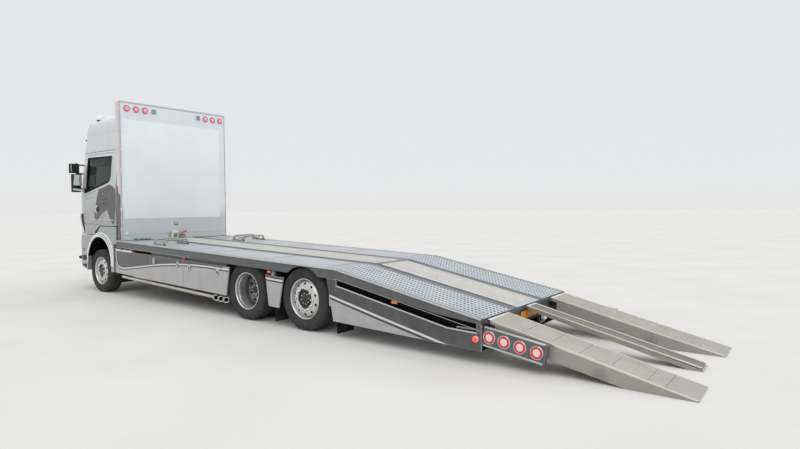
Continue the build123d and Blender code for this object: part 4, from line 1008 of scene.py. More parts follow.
def ramp_look(nm, y0, y1, tip):
    """Deck plates, edge beads, joints and the chequered tip plate of one ramp."""
    b = Build()
    sl = math.atan(0.499 / 2.140)
    n = Vector((-math.sin(sl), 0, math.cos(sl)))

    def strip(xa, xb, ya, yb, up, dn, m, c=0.0012):
        poly = [(xa, ramp_z(xa) + up), (xb, ramp_z(xb) + up), (xb, ramp_z(xb) + dn), (xa, ramp_z(xa) + dn)]
        b.prism(poly, ya, yb, "y", m, c)

    joints = [-4.335, -4.72, -5.03, -5.34, -5.66, -6.0, tip + 0.29]
    if nm != "centre":
        for a, c in zip(joints, joints[1:]):
            strip(a - 0.002, c + 0.002, y0 + 0.020, y1 - 0.020, 0.0022, -0.004, 0)
            for k in range(26):  # low grip ribs across the plate
                y = y0 + 0.030 + k * (y1 - y0 - 0.060) / 25
                strip(a - 0.012, c + 0.012, y - 0.0022, y + 0.0022, 0.0034, 0.0015, 0, 0.0)
        for x in joints[1:]:  # grimy joint between two plates
            strip(x + 0.0034, x - 0.0034, y0 + 0.022, y1 - 0.022, 0.0040, -0.002, 4, 0.0)
        # tip plate with chequer lugs
        strip(tip + 0.287, tip + 0.010, y0 + 0.012, y1 - 0.012, 0.0036, -0.003, 2)
        for i in range(11):
            for j in range(18):
                x = tip + 0.028 + i * 0.0245
                y = y0 + 0.032 + (j + 0.5 * (i % 2)) * 0.0262
                if y > y1 - 0.030:
                    continue
                t = (1 if (i + j) % 2 else -1) * 0.75
                A = Matrix.Translation((x, y, ramp_z(x) + 0.0036)) @ Matrix.Rotation(-sl, 4, "Y") @ Matrix.Rotation(t, 4, "Z")
                b.add([(-0.010, 0, 0), (0, -0.0028, 0), (0.010, 0, 0), (0, 0.0028, 0), (0, 0, 0.0018)],
                      [(0, 1, 4), (1, 2, 4), (2, 3, 4), (3, 0, 4), (3, 2, 1, 0)], 2, A)
        edges = ((y0 + 0.010, 1), (y1 - 0.010, 1))
    else:
        for a, c in zip(joints, joints[1:] + [tip + 0.01]):
            strip(a - 0.002, c + 0.002, y0 + 0.036, y1 - 0.036, 0.0012, -0.004, 4)
        strip(-4.335, tip + 0.012, -0.034, 0.034, 0.0046, 0.0, 4)
        for y in (-0.066, 0.066):
            strip(-4.335, tip + 0.012, y - 0.004, y + 0.004, 0.008, 0.0, 0)
        edges = ((y0 + 0.014, 1), (y1 - 0.014, 1))
    for y, _ in edges:  # bright worn edge flanges
        h = 0.0105 if nm != "centre" else 0.0145
        strip(-4.330, tip + 0.012, y - h, y + h, 0.0062, -0.002, 1, 0.0022)
    # side flange lines: a bead near the top and one along the underside
    for ys in (y0 - 0.0014, y1 + 0.0014):
        ya, yb = sorted((ys, ys + (0.004 if ys < (y0 + y1) / 2 else -0.004)))
        poly = [(-4.34, ramp_z(-4.34) - 0.006), (tip + 0.03, ramp_z(tip + 0.03) + 0.0005), (tip + 0.03, ramp_z(tip + 0.03) - 0.004), (-4.34, ramp_z(-4.34) - 0.018)]
        b.prism(poly, ya, yb, "y", 1, 0.001)
    # head lip
    strip(-4.312, -4.345, y0 + 0.004, y1 - 0.004, 0.004, -0.006, 1)
    return b.done("ramp_" + nm + "_plates", ["ramp", "rampedge", "tip", "joint_grime_and_hole_shade", "rampmid"], "ramp_" + nm, 32)


ramp_look("left", 0.660, 1.180, -6.450)
ramp_look("right", -1.180, -0.660, -6.450)
ramp_look("centre", -0.130, 0.130, -6.330)


# ================================================================ shells cut by outlines
def shell(b, rings, keep, top, bottom, m=0, grid=0.0):
    """All the area where keep(point) is true, cut along the rings, as a closed skin between top and bottom.

    The outlines may cross: the triangulation splits them where they do."""
    pts, edges = [], []
    for lp in rings:
        k = len(pts)
        pts += [Vector(p) for p in lp]
        edges += [(k + i, k + (i + 1) % len(lp)) for i in range(len(lp))]
    if grid > 0:
        xs = [p.x for p in pts]
        ys = [p.y for p in pts]
        nx = max(1, int((max(xs) - min(xs)) / grid))
        ny = max(1, int((max(ys) - min(ys)) / grid))
        for i in range(nx + 1):
            for j in range(ny + 1):
                pts.append(Vector((min(xs) + (max(xs) - min(xs)) * (i + 0.37 * (j % 2)) / (nx + 0.4), min(ys) + (max(ys) - min(ys)) * j / ny)))
    vs, es, fs, ov, oe, of_ = delaunay_2d_cdt(pts, edges, [], 0, 1e-7)
    kept = [tuple(f) for f in fs if keep(tuple(sum((vs[i] for i in f), Vector((0, 0))) / len(f)))]
    if not kept:
        return
    used = sorted({i for f in kept for i in f})
    ren = {i: k for k, i in enumerate(used)}
    n = len(used)
    v3 = [top(vs[i]) for i in used] + [bottom(vs[i]) for i in used]
    faces, count = [], {}
    for f in kept:
        g = [ren[i] for i in f]
        faces.append(tuple(g))
        faces.append(tuple(i + n for i in reversed(g)))
        for i in range(len(g)):
            e = (g[i], g[(i + 1) % len(g)])
            count[e] = count.get(e, 0) + 1
    for (a, c), _ in count.items():
        if (c, a) not in count:
            faces.append((a, a + n, c + n, c))
    b.add(v3, faces, m)


def ribbon(pts, width, off=0.0):
    """Outline of a band of that width along a 2-D line, moved sideways by off."""
    left, right = [], []
    for i, p in enumerate(pts):
        a = Vector(pts[max(i - 1, 0)])
        c = Vector(pts[min(i + 1, len(pts) - 1)])
        t = (c - a).normalized()
        nn = Vector((-t.y, t.x))
        q = Vector(p) + nn * off
        left.append(tuple(q + nn * width / 2))
        right.append(tuple(q - nn * width / 2))
    return left + list(reversed(right))


def smooth_line(pts, n=6):
    """A Catmull-Rom line through 2-D points."""
    out = []
    for i in range(len(pts) - 1):
        p0, p1, p2, p3 = (Vector(pts[max(0, min(len(pts) - 1, i + k))]) for k in (-1, 0, 1, 2))
        for k in range(n):
            t = k / n
            out.append(tuple(0.5 * ((2 * p1) + (p2 - p0) * t + (2 * p0 - 5 * p1 + 4 * p2 - p3) * t * t + (3 * p1 - p0 - 3 * p2 + p3) * t ** 3)))
    out.append(tuple(pts[-1]))
    return out


# ================================================================ skirts: fields, stripes, fittings
SK = 1.2750


def dz(x, d):
    return (x, deck_z(x) - d)


FRONT_PANEL = [dz(4.232, 0.162), dz(3.560, 0.162), dz(3.520, 0.195), dz(2.874, 0.195), dz(2.874, 0.670), dz(4.232, 0.660)]
DOOR_FRONT = [dz(2.866, 0.195), dz(1.744, 0.195), dz(1.744, 0.670), dz(2.866, 0.670)]
DOOR_REAR = [dz(1.736, 0.195), dz(0.380, 0.195), dz(0.470, 0.670), dz(1.736, 0.670)]
INFILL = [(-0.538, 0.770), (-0.944, 0.750), (-0.838, 0.284), (-0.608, 0.292)]
REAR_PANEL = [dz(-1.852, 0.141), dz(-2.007, 0.141), (-3.650, 0.515), (-4.280, 0.451), (-4.280, 0.150), (-3.900, 0.163), (-1.975, 0.220)]
REAR_SLOT = [(-2.032, 0.870), (-2.032, 0.708), (-3.831, 0.359), (-4.225, 0.347), (-4.225, 0.520)]
LINE_FRONT = smooth_line([(4.212, 1.05), (4.208, 0.88), (4.194, 0.755), (4.164, 0.682), (4.118, 0.632), (4.032, 0.602), (3.842, 0.600), (3.40, 0.648),
                          (2.855, 0.712), (2.45, 0.752), (2.048, 0.780), (1.70, 0.796), (1.314, 0.803), (0.90, 0.800), (0.362, 0.780)])
LINE_MID = [(-0.45, 0.722), (-1.05, 0.690)]
LINE_REAR = [(-1.80, 0.596), (-1.902, 0.572), (-2.832, 0.368), (-3.545, 0.219), (-3.86, 0.150)]


def inset(poly, d):
    """The polygon pulled in by d."""
    n = len(poly)
    area = sum(poly[i][0] * poly[(i + 1) % n][1] - poly[(i + 1) % n][0] * poly[i][1] for i in range(n))
    s = 1 if area > 0 else -1
    out = []
    for i in range(n):
        p, a, c = Vector(poly[i]), Vector(poly[i - 1]), Vector(poly[(i + 1) % n])
        e1, e2 = (p - a).normalized(), (c - p).normalized()
        n1, n2 = Vector((-e1.y, e1.x)) * s, Vector((-e2.y, e2.x)) * s
        k = 1 + n1.dot(n2)
        out.append(tuple(p + (n1 + n2) * (d / max(k, 0.3))))
    return out


def skirt_panel(name, poly, line, body, mode, black_off, white_w, black_w, slots=()):
    """The dark field above the line, the white line and the black line under it, as raised films on one panel."""
    for sd in (1, -1):
        side = "left" if sd > 0 else "right"
        b = Build()
        edge = inset(poly, 0.0035)
        holes = [inset(s, -0.0035) for s in slots]
        run = list(line) + ([(0.20, 0.772), (0.05, 0.764)] if mode == "front" else [])
        white = ribbon(run, white_w)
        black = ribbon(run, black_w, black_off)
        far = 3.0
        up = list(line) + ([(line[-1][0], far), (5.0, far), (5.0, line[0][1])] if mode == "front" else
                           [(line[-1][0], far), (line[0][0], far)])

        def on_panel(p):
            return inside(p, edge) and not any(inside(p, h) for h in holes)

        def cover(t):
            return lambda p: (p[0], sd * (SK + t), p[1])

        rings = [edge, white, black, up] + holes
        if mode == "front":
            up = list(line) + [(line[-1][0], far), (line[0][0], far)]
            rings[3] = up
        if mode == "rear":
            up = list(line) + [(line[-1][0] - 0.01, -1.0), (-5.0, -1.0), (-5.0, far), (line[0][0], far)]
            rings[3] = up
        if mode == "front":
            rings = rings + [[(0.300, -1.0), (0.545, -1.0), (0.545, far), (0.300, far)]]
        shell(b, rings, lambda p: on_panel(p) and inside(p, up) and not inside(p, white) and (mode != "front" or p[0] > 0.545), cover(0.0006), cover(-0.0006), 0)
        shell(b, rings, lambda p: on_panel(p) and inside(p, white), cover(0.0010), cover(-0.0006), 1)
        shell(b, rings, lambda p: on_panel(p) and inside(p, black) and not inside(p, white), cover(0.0008), cover(-0.0006), 2)
        b.done(name + "_" + side, ["dark", "white", "black"], body.replace("SIDE", side), 30)


skirt_panel("front_skirt_film", FRONT_PANEL, LINE_FRONT, "chassis", "front", 0.024, 0.024, 0.020)
skirt_panel("front_door_film", DOOR_FRONT, LINE_FRONT, "locker_door_front_SIDE", "front", 0.024, 0.024, 0.020)
skirt_panel("rear_door_film", DOOR_REAR, LINE_FRONT, "locker_door_rear_SIDE", "front", 0.024, 0.024, 0.020)
skirt_panel("infill_film", INFILL, LINE_MID, "chassis", "mid", 0.026, 0.026, 0.022)
skirt_panel("rear_skirt_film", REAR_PANEL, LINE_REAR, "chassis", "rear", 0.033, 0.026, 0.026, [REAR_SLOT])


def lamp_marker(b, at, out, up, w, h, base_m, lens_m, depth=0.014):
    """A small side marker: base with rounded ends and a domed lens."""
    A = axes(at, out, up)
    b.prism(rounded([(-h / 2 - 0.006, -w / 2 - 0.006), (h / 2 + 0.006, -w / 2 - 0.006), (h / 2 + 0.006, w / 2 + 0.006), (-h / 2 - 0.006, w / 2 + 0.006)], 0.008, 3),
            0.0, 0.006, "z", base_m, 0.0012, A)
    pr = rounded([(-h / 2, -w / 2), (h / 2, -w / 2), (h / 2, w / 2), (-h / 2, w / 2)], min(w, h) * 0.35, 4)
    b.prism(pr, 0.004, depth, "z", lens_m, 0.003, A, 3)


def fittings():
    for sd in (1, -1):
        nm = "left" if sd > 0 else "right"
        out = (0, sd, 0)
        # --- chassis: filler strip, markers, slot trims, inner walls painted near black as shade
        b = Build()
        strip = [dz(4.222, 0.170), dz(3.585, 0.170), dz(3.565, 0.202), dz(4.222, 0.206)]
        b.prism(strip, sd * SK, sd * (SK + 0.003), "y", 0, 0.001)
        lamp_marker(b, (3.993, sd * 1.2762, 0.958 + 0.025), out, (0, 0, 1), 0.060, 0.026, 3, 1)
        lamp_marker(b, (1.681, sd * 1.2762, 0.912), out, (0, 0, 1), 0.075, 0.028, 3, 1)
        lamp_marker(b, (-0.638, sd * 1.2762, 0.818), out, (0, 0, 1), 0.085, 0.030, 3, 2)
        lamp_marker(b, (-3.050, sd * 1.2700, 0.588), out, (0, 0, 1), 0.095, 0.034, 3, 2)
        for x, z in ((3.993, 0.958 + 0.025), (1.681, 0.912), (-0.638, 0.818), (-3.050, 0.588)):
            b.box((x - 0.03, sd * 1.262, z - 0.012), (x + 0.03, sd * 1.277, z + 0.012), 3, 0.002)
        # bright strip along the slot's lower side
        low = ribbon([(-2.034, 0.712), (-3.831, 0.3625), (-4.224, 0.3505)], 0.017, -0.004)
        b.prism(low, sd * (SK - 0.002), sd * (SK + 0.004), "y", 4, 0.0015)
        # round red end lamp on a white base
        A = axes((-4.212, sd * (SK + 0.0), 0.286), out)
        b.lathe([(0.036, 0.0), (0.036, 0.010), (0.033, 0.014), (0.002, 0.014)], 32, 5, A)
        A = axes((-4.212, sd * (SK + 0.012), 0.286), out)
        b.lathe([(0.029, 0.0), (0.0295, 0.012), (0.026, 0.024), (0.018, 0.031), (0.008, 0.034), (0.001, 0.0345)], 32, 6, A)
        # inner channel walls behind the long slot and under the beavertail, painted near black as shade
        for xa, xb, za, zb, zc, zd in ((-1.93, -4.262, 0.30, 0.285, 0.105, 0.105),):
            poly = [(xa, deck_z(xa) - 0.062), (KINK, deck_z(KINK) - 0.062), (xb, deck_z(xb) - 0.062), (xb, 0.285), (xa, 0.32)]
            b.prism(poly, sd * 1.196, sd * 1.202, "y", 7, 0.001)
        b.prism([(-1.95, deck_z(-1.95) - 0.30), (-4.26, 0.300), (-4.26, 0.290), (-1.95, deck_z(-1.95) - 0.31)], sd * 1.03, sd * 1.20, "y", 7, 0.001)
        # locking wedge and guide rail seen in the slot's tail
        b.box((-4.20, sd * 1.206, 0.372), (-3.93, sd * 1.236, 0.392), 8, 0.003)
        # front channel behind the gap under the rail, painted near black as shade
        b.prism([dz(3.50, 0.150), dz(0.60, 0.150), dz(0.60, 0.188), dz(3.50, 0.188)], sd * 1.214, sd * 1.220, "y", 7, 0.001)
        # outer screws along the skirts
        for x in (4.12, 3.86, 3.62, 3.30, 2.96):
            b.rivet((x, sd * (SK + 0.0006), deck_z(x) - 0.640), out, 0.006, 9)
        for x in (4.05, 3.70):
            b.rivet((x, sd * (SK + 0.003), deck_z(x) - 0.187), out, 0.005, 9)
        for x in (-2.10, -2.55, -3.00, -3.45, -3.90):
            b.rivet((x, sd * SK, 0.150 + (x + 4.28) * 0.0325 + 0.016), out, 0.006, 9)
        for x, z in ((-0.60, 0.735), (-0.885, 0.725), (-0.640, 0.315), (-0.815, 0.312)):
            b.rivet((x, sd * (SK + 0.0006), z), out, 0.006, 9)
        # return flanges that give the panels a folded edge
        for a, c in ((FRONT_PANEL[5], FRONT_PANEL[4]), ((-1.975, 0.220), (-3.900, 0.163)), ((-3.900, 0.163), (-4.280, 0.150)), (INFILL[3], INFILL[2])):
            pl = [(a[0], a[1]), (c[0], c[1]), (c[0], c[1] + 0.003), (a[0], a[1] + 0.003)]
            b.prism(pl, sd * 1.225, sd * 1.252, "y", 10, 0.0008)
        b.done("side_fittings_" + nm, ["white", "redlens", "amber", "mould", "alu", "white", "redlit", "void", "zinc", "zinc", "dark"], "chassis", 35)

        # --- locker doors: latch, rings, folded edges
        for tag, poly, rings_, hinge in (("front", DOOR_FRONT, ((2.716, 0.812, "handle"), (1.901, 0.789, "ring")), 0),
                                         ("rear", DOOR_REAR, ((1.536, 0.765, "ring"), (0.695, 0.735, "ring")), 0)):
            b = Build()
            for x, z, kind in rings_:
                if kind == "ring":
                    b.prism(rounded([(x - 0.036, z - 0.048), (x + 0.036, z - 0.048), (x + 0.036, z + 0.048), (x - 0.036, z + 0.048)], 0.012, 3),
                            sd * (SK + 0.0005), sd * (SK + 0.0045), "y", 4, 0.0012)
                    A = axes((x, sd * (SK + 0.0045), z + 0.020), out, (0, 0, 1))
                    b.lathe([(0.017, 0), (0.017, 0.005), (0.013, 0.008), (0.002, 0.008)], 20, 0, A)
                    pts = []
                    for k in range(24):
                        a = 2 * PI * k / 24
                        pts.append((x + 0.034 * math.cos(a), sd * (SK + 0.0100 + 0.002 * (1 - math.sin(a))), z - 0.014 + 0.038 * math.sin(a)))
                    b.tube(pts, 0.0062, 8, 4, True)
                    b.lathe([(0.011, 0), (0.011, 0.0035), (0.002, 0.004)], 16, 2, axes((x, sd * (SK + 0.0045), z - 0.012), out))
                else:
                    b.prism(rounded([(x - 0.022, z - 0.062), (x + 0.022, z - 0.062), (x + 0.022, z + 0.062), (x - 0.022, z + 0.062)], 0.010, 3),
                            sd * (SK + 0.0005), sd * (SK + 0.004), "y", 1, 0.0012)
                    b.tube([(x, sd * (SK + 0.004), z + 0.045), (x, sd * (SK + 0.026), z + 0.040), (x, sd * (SK + 0.030), z), (x, sd * (SK + 0.028), z - 0.045),
                            (x, sd * (SK + 0.018), z - 0.055)], [0.008, 0.0085, 0.0075, 0.0075, 0.006], 10, 1)
                    b.prism(rounded([(x + 0.004, z - 0.050), (x + 0.040, z - 0.050), (x + 0.040, z - 0.028), (x + 0.004, z - 0.028)], 0.006, 3),
                            sd * (SK + 0.0012), sd * (SK + 0.008), "y", 1, 0.002)
            # folded edge inside the door and a stiffener
            ed = inset(poly, 0.006)
            for a, c in zip(ed, ed[1:] + ed[:1]):
                rb = ribbon([a, c], 0.003)
                b.prism(rb, sd * 1.232, sd * 1.2515, "y", 3, 0.0)
            mid = [((poly[0][0] + poly[1][0]) / 2, 0), ]
            xm = mid[0][0]
            b.box((xm - 0.03, sd * 1.240, deck_z(xm) - 0.62), (xm + 0.03, sd * 1.252, deck_z(xm) - 0.24), 3, 0.003)
            # hinge barrel along the bottom edge
            a, c = poly[3], poly[2]
            for t in (0.14, 0.5, 0.86):
                px, pz = a[0] + (c[0] - a[0]) * t, a[1] + (c[1] - a[1]) * t
                b.tube([(px - 0.05, sd * 1.2585, pz + 0.004), (px + 0.05, sd * 1.2585, pz + 0.004)], 0.0045, 10, 2)
            b.done("locker_latches_" + tag + "_" + nm, ["zinc", "latch", "iron", "dark", "latch"], "locker_door_" + tag + "_" + nm, 35)


fittings()


# ================================================================ deck edge: bright lip
def deck_lip():
    b = Build()
    for sd in (1, -1):
        for a, c in ((4.006, 1.62), (1.612, KINK), (KINK, -4.278)):
            y0, y1 = sorted((sd * 1.2125, sd * 1.2595))
            deck_quad(b, a, c, y0, y1, 0.0016, 0.003, 0, 0.0008)
        deck_quad(b, 4.006, -4.278, *sorted((sd * 1.2005, sd * 1.2045)), 0.0010, 0.004, 1, 0.0)
        for k in range(22):
            x = 3.90 - k * 0.385
            if x < -4.2:
                break
            b.rivet((x, sd * 1.236, deck_z(x) + 0.0015), (0, 0, 1), 0.0055, 2)
    # tail angle across the deck's end
    for y0, y1 in ((0.502, 1.2), (-1.2, -0.502), (-0.498, 0.498)):
        b.prism([(-4.274, deck_z(-4.274) + 0.001), (-4.2815, deck_z(-4.28) + 0.001), (-4.2815, deck_z(-4.28) - 0.045), (-4.2785, deck_z(-4.28) - 0.045)], y0, y1, "y", 3, 0.001)
    b.done("deck_lip", ["strip", "black", "zinc", "strip"], "chassis", 35)


deck_lip()


# ================================================================ headboard
HB0, HB1, HBY, HBT = 4.010, 4.185, 1.240, 4.000


def headboard_look():
    b = Build()
    R = HB0
    # 0 frame grey, 1 blank panel, 2 white side, 3 dark side, 4 seam black, 5 trim, 6 chrome, 7 red, 8 reflector, 9 dark lens
    def rear(y0, y1, z0, z1, t, m, c=0.0008):
        b.box((R - t, y0, z0), (R + 0.002, y1, z1), m, c)

    # corner profiles and the seams beside them
    for sd in (1, -1):
        b.prism(rounded([(R - 0.0022, sd * 1.2265), (R - 0.0022, sd * 1.2412), (R + 0.026, sd * 1.2412), (R + 0.026, sd * 1.2385), (R + 0.002, sd * 1.2265)], [0, 0.010, 0, 0, 0], 4),
                1.150, 4.0012, "z", 5, 0.0)
        rear(sd * 1.2235 - 0.0022, sd * 1.2235 + 0.0022, 1.150, 3.968, 0.0008, 4, 0.0)
    rear(-1.226, 1.226, 3.978, 4.0012, 0.0022, 5)
    rear(-1.226, 1.226, 3.9665, 3.9715, 0.0008, 4, 0.0)
    # sheet joints of the board itself
    for z in (1.262,):
        rear(-1.220, 1.220, z - 0.0015, z + 0.0015, 0.0006, 4, 0.0)
    # pale blank panel in its shallow frame
    b.prism(rounded([(1.176, 1.600), (1.176, 3.640), (-1.078, 3.640), (-1.078, 1.600)], 0.012, 3), R - 0.0026, R + 0.001, "x", 1, 0.0008)
    # side faces: white above, dark below, with a rounded corner between
    for sd in (1, -1):
        def lay(t):
            return lambda p: (p[0], sd * (HBY + t), p[1])
        full = [(HB0 + 0.0055, 1.154), (HB1 - 0.0055, 1.154), (HB1 - 0.0055, 3.9945), (HB0 + 0.0055, 3.9945)]
        white = [(HB0 - 0.1, 4.2), (HB0 - 0.1, 2.094), (4.060, 2.094)] + smooth_line([(4.060, 2.094), (4.098, 2.104), (4.118, 2.134), (4.124, 2.175)], 4)[1:] + \
            smooth_line([(4.124, 2.175), (4.132, 2.235), (4.150, 2.275), (4.215, 2.300)], 4)[1:] + [(4.3, 4.2)]
        shell(b, [full, white], lambda p: inside(p, full) and inside(p, white), lay(0.0010), lay(-0.001), 2)
        shell(b, [full, white], lambda p: inside(p, full) and not inside(p, white), lay(0.0008), lay(-0.001), 3)
        # upright seam and rivets on the side face
        b.box((HB0 + 0.044, sd * (HBY - 0.001), 1.16), (HB0 + 0.047, sd * (HBY + 0.0014), 3.985), 4, 0.0)
        for k in range(12):
            b.rivet((HB1 - 0.020, sd * (HBY + 0.001), 1.25 + k * 0.242), (0, sd, 0), 0.0055, 6)
        # red side markers
        for z in (3.82, 3.43, 3.01, 2.59, 2.18, 1.79, 1.38):
            A = axes((HB0 + 0.024, sd * (HBY + 0.001), z), (0, sd, 0), (0, 0, 1))
            b.prism(rounded([(-0.034, -0.014), (0.034, -0.014), (0.034, 0.014), (-0.034, 0.014)], 0.007, 3), 0.0, 0.006, "z", 8, 0.001, A)
            for q in (-0.017, 0.017):
                b.lathe([(0.010, 0.005), (0.010, 0.009), (0.007, 0.0125), (0.001, 0.0135)], 16, 7, A @ Matrix.Translation((q, 0, 0)))
            # round corner lamp beside it, seen from behind and from the side
            A = axes((HB0 + 0.002, sd * (HBY - 0.004), z - 0.005), (-0.55, sd, 0), (0, 0, 1))
            b.lathe([(0.0190, -0.004), (0.0190, 0.006), (0.0165, 0.009)], 24, 6, A, caps=False)
            b.lathe([(0.0170, 0.002), (0.0165, 0.010), (0.0110, 0.0145), (0.001, 0.0155)], 24, 11, A)
    # round lamps: bezel, ring, centre reflector
    for y in (1.09, 0.895, 0.704, -0.727, -0.914, -1.109):
        A = axes((R - 0.0005, y, 3.858), (-1, 0, 0), (0, 0, 1))
        b.lathe([(0.066, 0), (0.066, 0.008), (0.0635, 0.0125), (0.0600, 0.0130), (0.0585, 0.010)], 48, 6, A, caps=False)
        b.lathe([(0.0595, 0.002), (0.0590, 0.012), (0.0560, 0.0175), (0.0500, 0.0205), (0.0430, 0.0215), (0.0415, 0.0190)], 48, 12, A, caps=False)
        b.lathe([(0.0420, 0.002), (0.0420, 0.0205), (0.0360, 0.0235), (0.0200, 0.0262), (0.001, 0.0268)], 40, 11, A, caps=False)
        b.lathe([(0.0670, 0.0005), (0.0700, 0.0010), (0.0700, 0.0), (0.0670, 0.0)], 48, 4, A, closed=True)
    # square lamps
    for y in (0.518, -0.535):
        A = axes((R - 0.0005, y, 3.858), (-1, 0, 0), (0, 0, 1))
        sq = rounded([(-0.054, -0.054), (0.054, -0.054), (0.054, 0.054), (-0.054, 0.054)], 0.014, 4)
        inner = rounded([(-0.044, -0.044), (0.044, -0.044), (0.044, 0.044), (-0.044, 0.044)], 0.009, 4)
        up = lambda p: tuple(A @ Vector((p[0], p[1], 0.015)))
        dn = lambda p: tuple(A @ Vector((p[0], p[1], 0.0)))
        shell(b, [sq, inner], lambda p: inside(p, sq) and not inside(p, inner), up, dn, 6)
        b.prism(inner, 0.0, 0.006, "z", 9, 0.0, A)
        for q in range(5):
            b.box((-0.042, -0.038 + q * 0.0185, 0.004), (0.042, -0.032 + q * 0.0185, 0.010), 10, 0.0012, A)
        b.box((-0.004, -0.042, 0.005), (0.004, 0.042, 0.0125), 6, 0.001, A)
    # lock under the panel, and the round knob
    A = axes((R, 0.047, 1.471), (-1, 0, 0), (0, 0, 1))
    b.prism(rounded([(-0.032, -0.045), (0.032, -0.045), (0.032, 0.045), (-0.032, 0.045)], 0.012, 4), 0.0, 0.005, "z", 4, 0.0012, A)
    b.lathe([(0.022, 0.004), (0.022, 0.010), (0.018, 0.014), (0.002, 0.014)], 28, 6, A @ Matrix.Translation((0.0, 0.010, 0)))
    b.box((-0.006, -0.034, 0.006), (0.022, -0.012, 0.020), 6, 0.003, A)
    b.box((-0.024, -0.006, 0.010), (0.026, 0.006, 0.019), 10, 0.003, A)
    A = axes((R, 1.135, 1.282), (-1, 0, 0), (0, 0, 1))
    b.lathe([(0.034, 0), (0.034, 0.006), (0.028, 0.010), (0.014, 0.014), (0.014, 0.022), (0.020, 0.028), (0.021, 0.036), (0.014, 0.042), (0.001, 0.043)], 36, 2, A)
    b.box((-0.034, -0.052, 0.0), (-0.022, -0.020, 0.006), 6, 0.002, A)
    # ribs on the front face, seen above the cab and from the side
    for y in (-1.1, -0.66, -0.22, 0.22, 0.66, 1.1):
        b.box((HB1 - 0.001, y - 0.03, 1.20), (HB1 + 0.0085, y + 0.03, 3.93), 0, 0.003)
    for z in (1.9, 2.7, 3.5, 3.955):
        b.box((HB1 - 0.001, -1.225, z - 0.02), (HB1 + 0.0085, 1.225, z + 0.02), 0, 0.003)
    for yy in (-1.05, -0.35, 0.35, 1.05):  # bolts along the foot
        b.hexbolt((R, yy * 1.1, 1.178), (-1, 0, 0), 0.009, 0.006, 6)
    b.done("headboard_fittings", ["head", "blank", "headside", "headdark", "black", "aluz", "chrome", "redlens", "pinklens", "greylens", "zinc", "hotlens", "crimson"], "chassis", 35)

    # winch control box with its red lever, and the flat teal strap behind the boards
    b = Build()
    z0 = deck_z(3.93) + 0.006
    b.box((3.900, 0.060, z0), (3.975, 0.205, z0 + 0.165), 0, 0.010, seg=3)
    b.box((3.893, 0.085, z0 + 0.030), (3.902, 0.180, z0 + 0.125), 1, 0.002)
    b.box((3.905, 0.052, z0 + 0.150), (3.970, 0.213, z0 + 0.172), 0, 0.006)
    b.tube([(3.935, 0.205, z0 + 0.120), (3.930, 0.235, z0 + 0.128), (3.925, 0.262, z0 + 0.118)], 0.008, 10, 3)
    for k in range(3):
        b.lathe([(0.009, 0), (0.009, 0.006), (0.003, 0.008)], 16, 4 if k else 2, axes((3.893, 0.100 + k * 0.030, z0 + 0.060), (-1, 0, 0)))
    b.box((3.920, -0.120, z0), (3.965, 0.040, z0 + 0.080), 1, 0.006)
    b.tube([(3.935, -0.02, z0 + 0.070), (3.925, -0.05, z0 + 0.125), (3.915, -0.11, z0 + 0.150)], [0.010, 0.011, 0.013], 12, 2)
    b.lathe([(0.018, -0.012), (0.021, -0.004), (0.021, 0.004), (0.018, 0.012), (0.002, 0.013)], 18, 2, axes((3.915, -0.118, z0 + 0.152), (0, -1, 0.3)))
    b.box((3.912, -0.100, z0 + 0.078), (3.972, 0.030, z0 + 0.090), 2, 0.003)
    b.done("control_box", ["white", "greenpaint", "redpaint", "zinc", "black"], "chassis", 35)
    b = Build()
    base = deck_z(3.96) + 0.001
    n = 26
    pts = [(0.645 + 0.335 * i / n, base + 0.006 + 0.012 * math.sin(i * 0.9) * math.sin(PI * i / n)) for i in range(n + 1)]
    for k, (dx, dh) in enumerate(((0.0, 0.0), (0.006, 0.018))):
        vs, fs = [], []
        for i, (y, z) in enumerate(pts):
            for x, h in ((3.935 + dx, 0.0), (3.985 + dx * 0.3, 0.004 + 0.002 * math.sin(i)), (3.985 + dx * 0.3, 0.0075 + 0.002 * math.sin(i)), (3.935 + dx, 0.0035)):
                vs.append((x, y, z + h + dh))
        for i in range(n):
            for q in range(4):
                q2 = (q + 1) % 4
                fs.append((i * 4 + q, i * 4 + q2, (i + 1) * 4 + q2, (i + 1) * 4 + q))
        fs += [(3, 2, 1, 0), (n * 4, n * 4 + 1, n * 4 + 2, n * 4 + 3)]
        b.add(vs, fs, 0)
    b.lathe([(0.020, -0.024), (0.020, 0.024)], 24, 0, axes((3.962, 0.985, base + 0.022), (1, 0, 0)))
    b.done("folded_strap", ["teal"], "chassis", 35)


headboard_look()


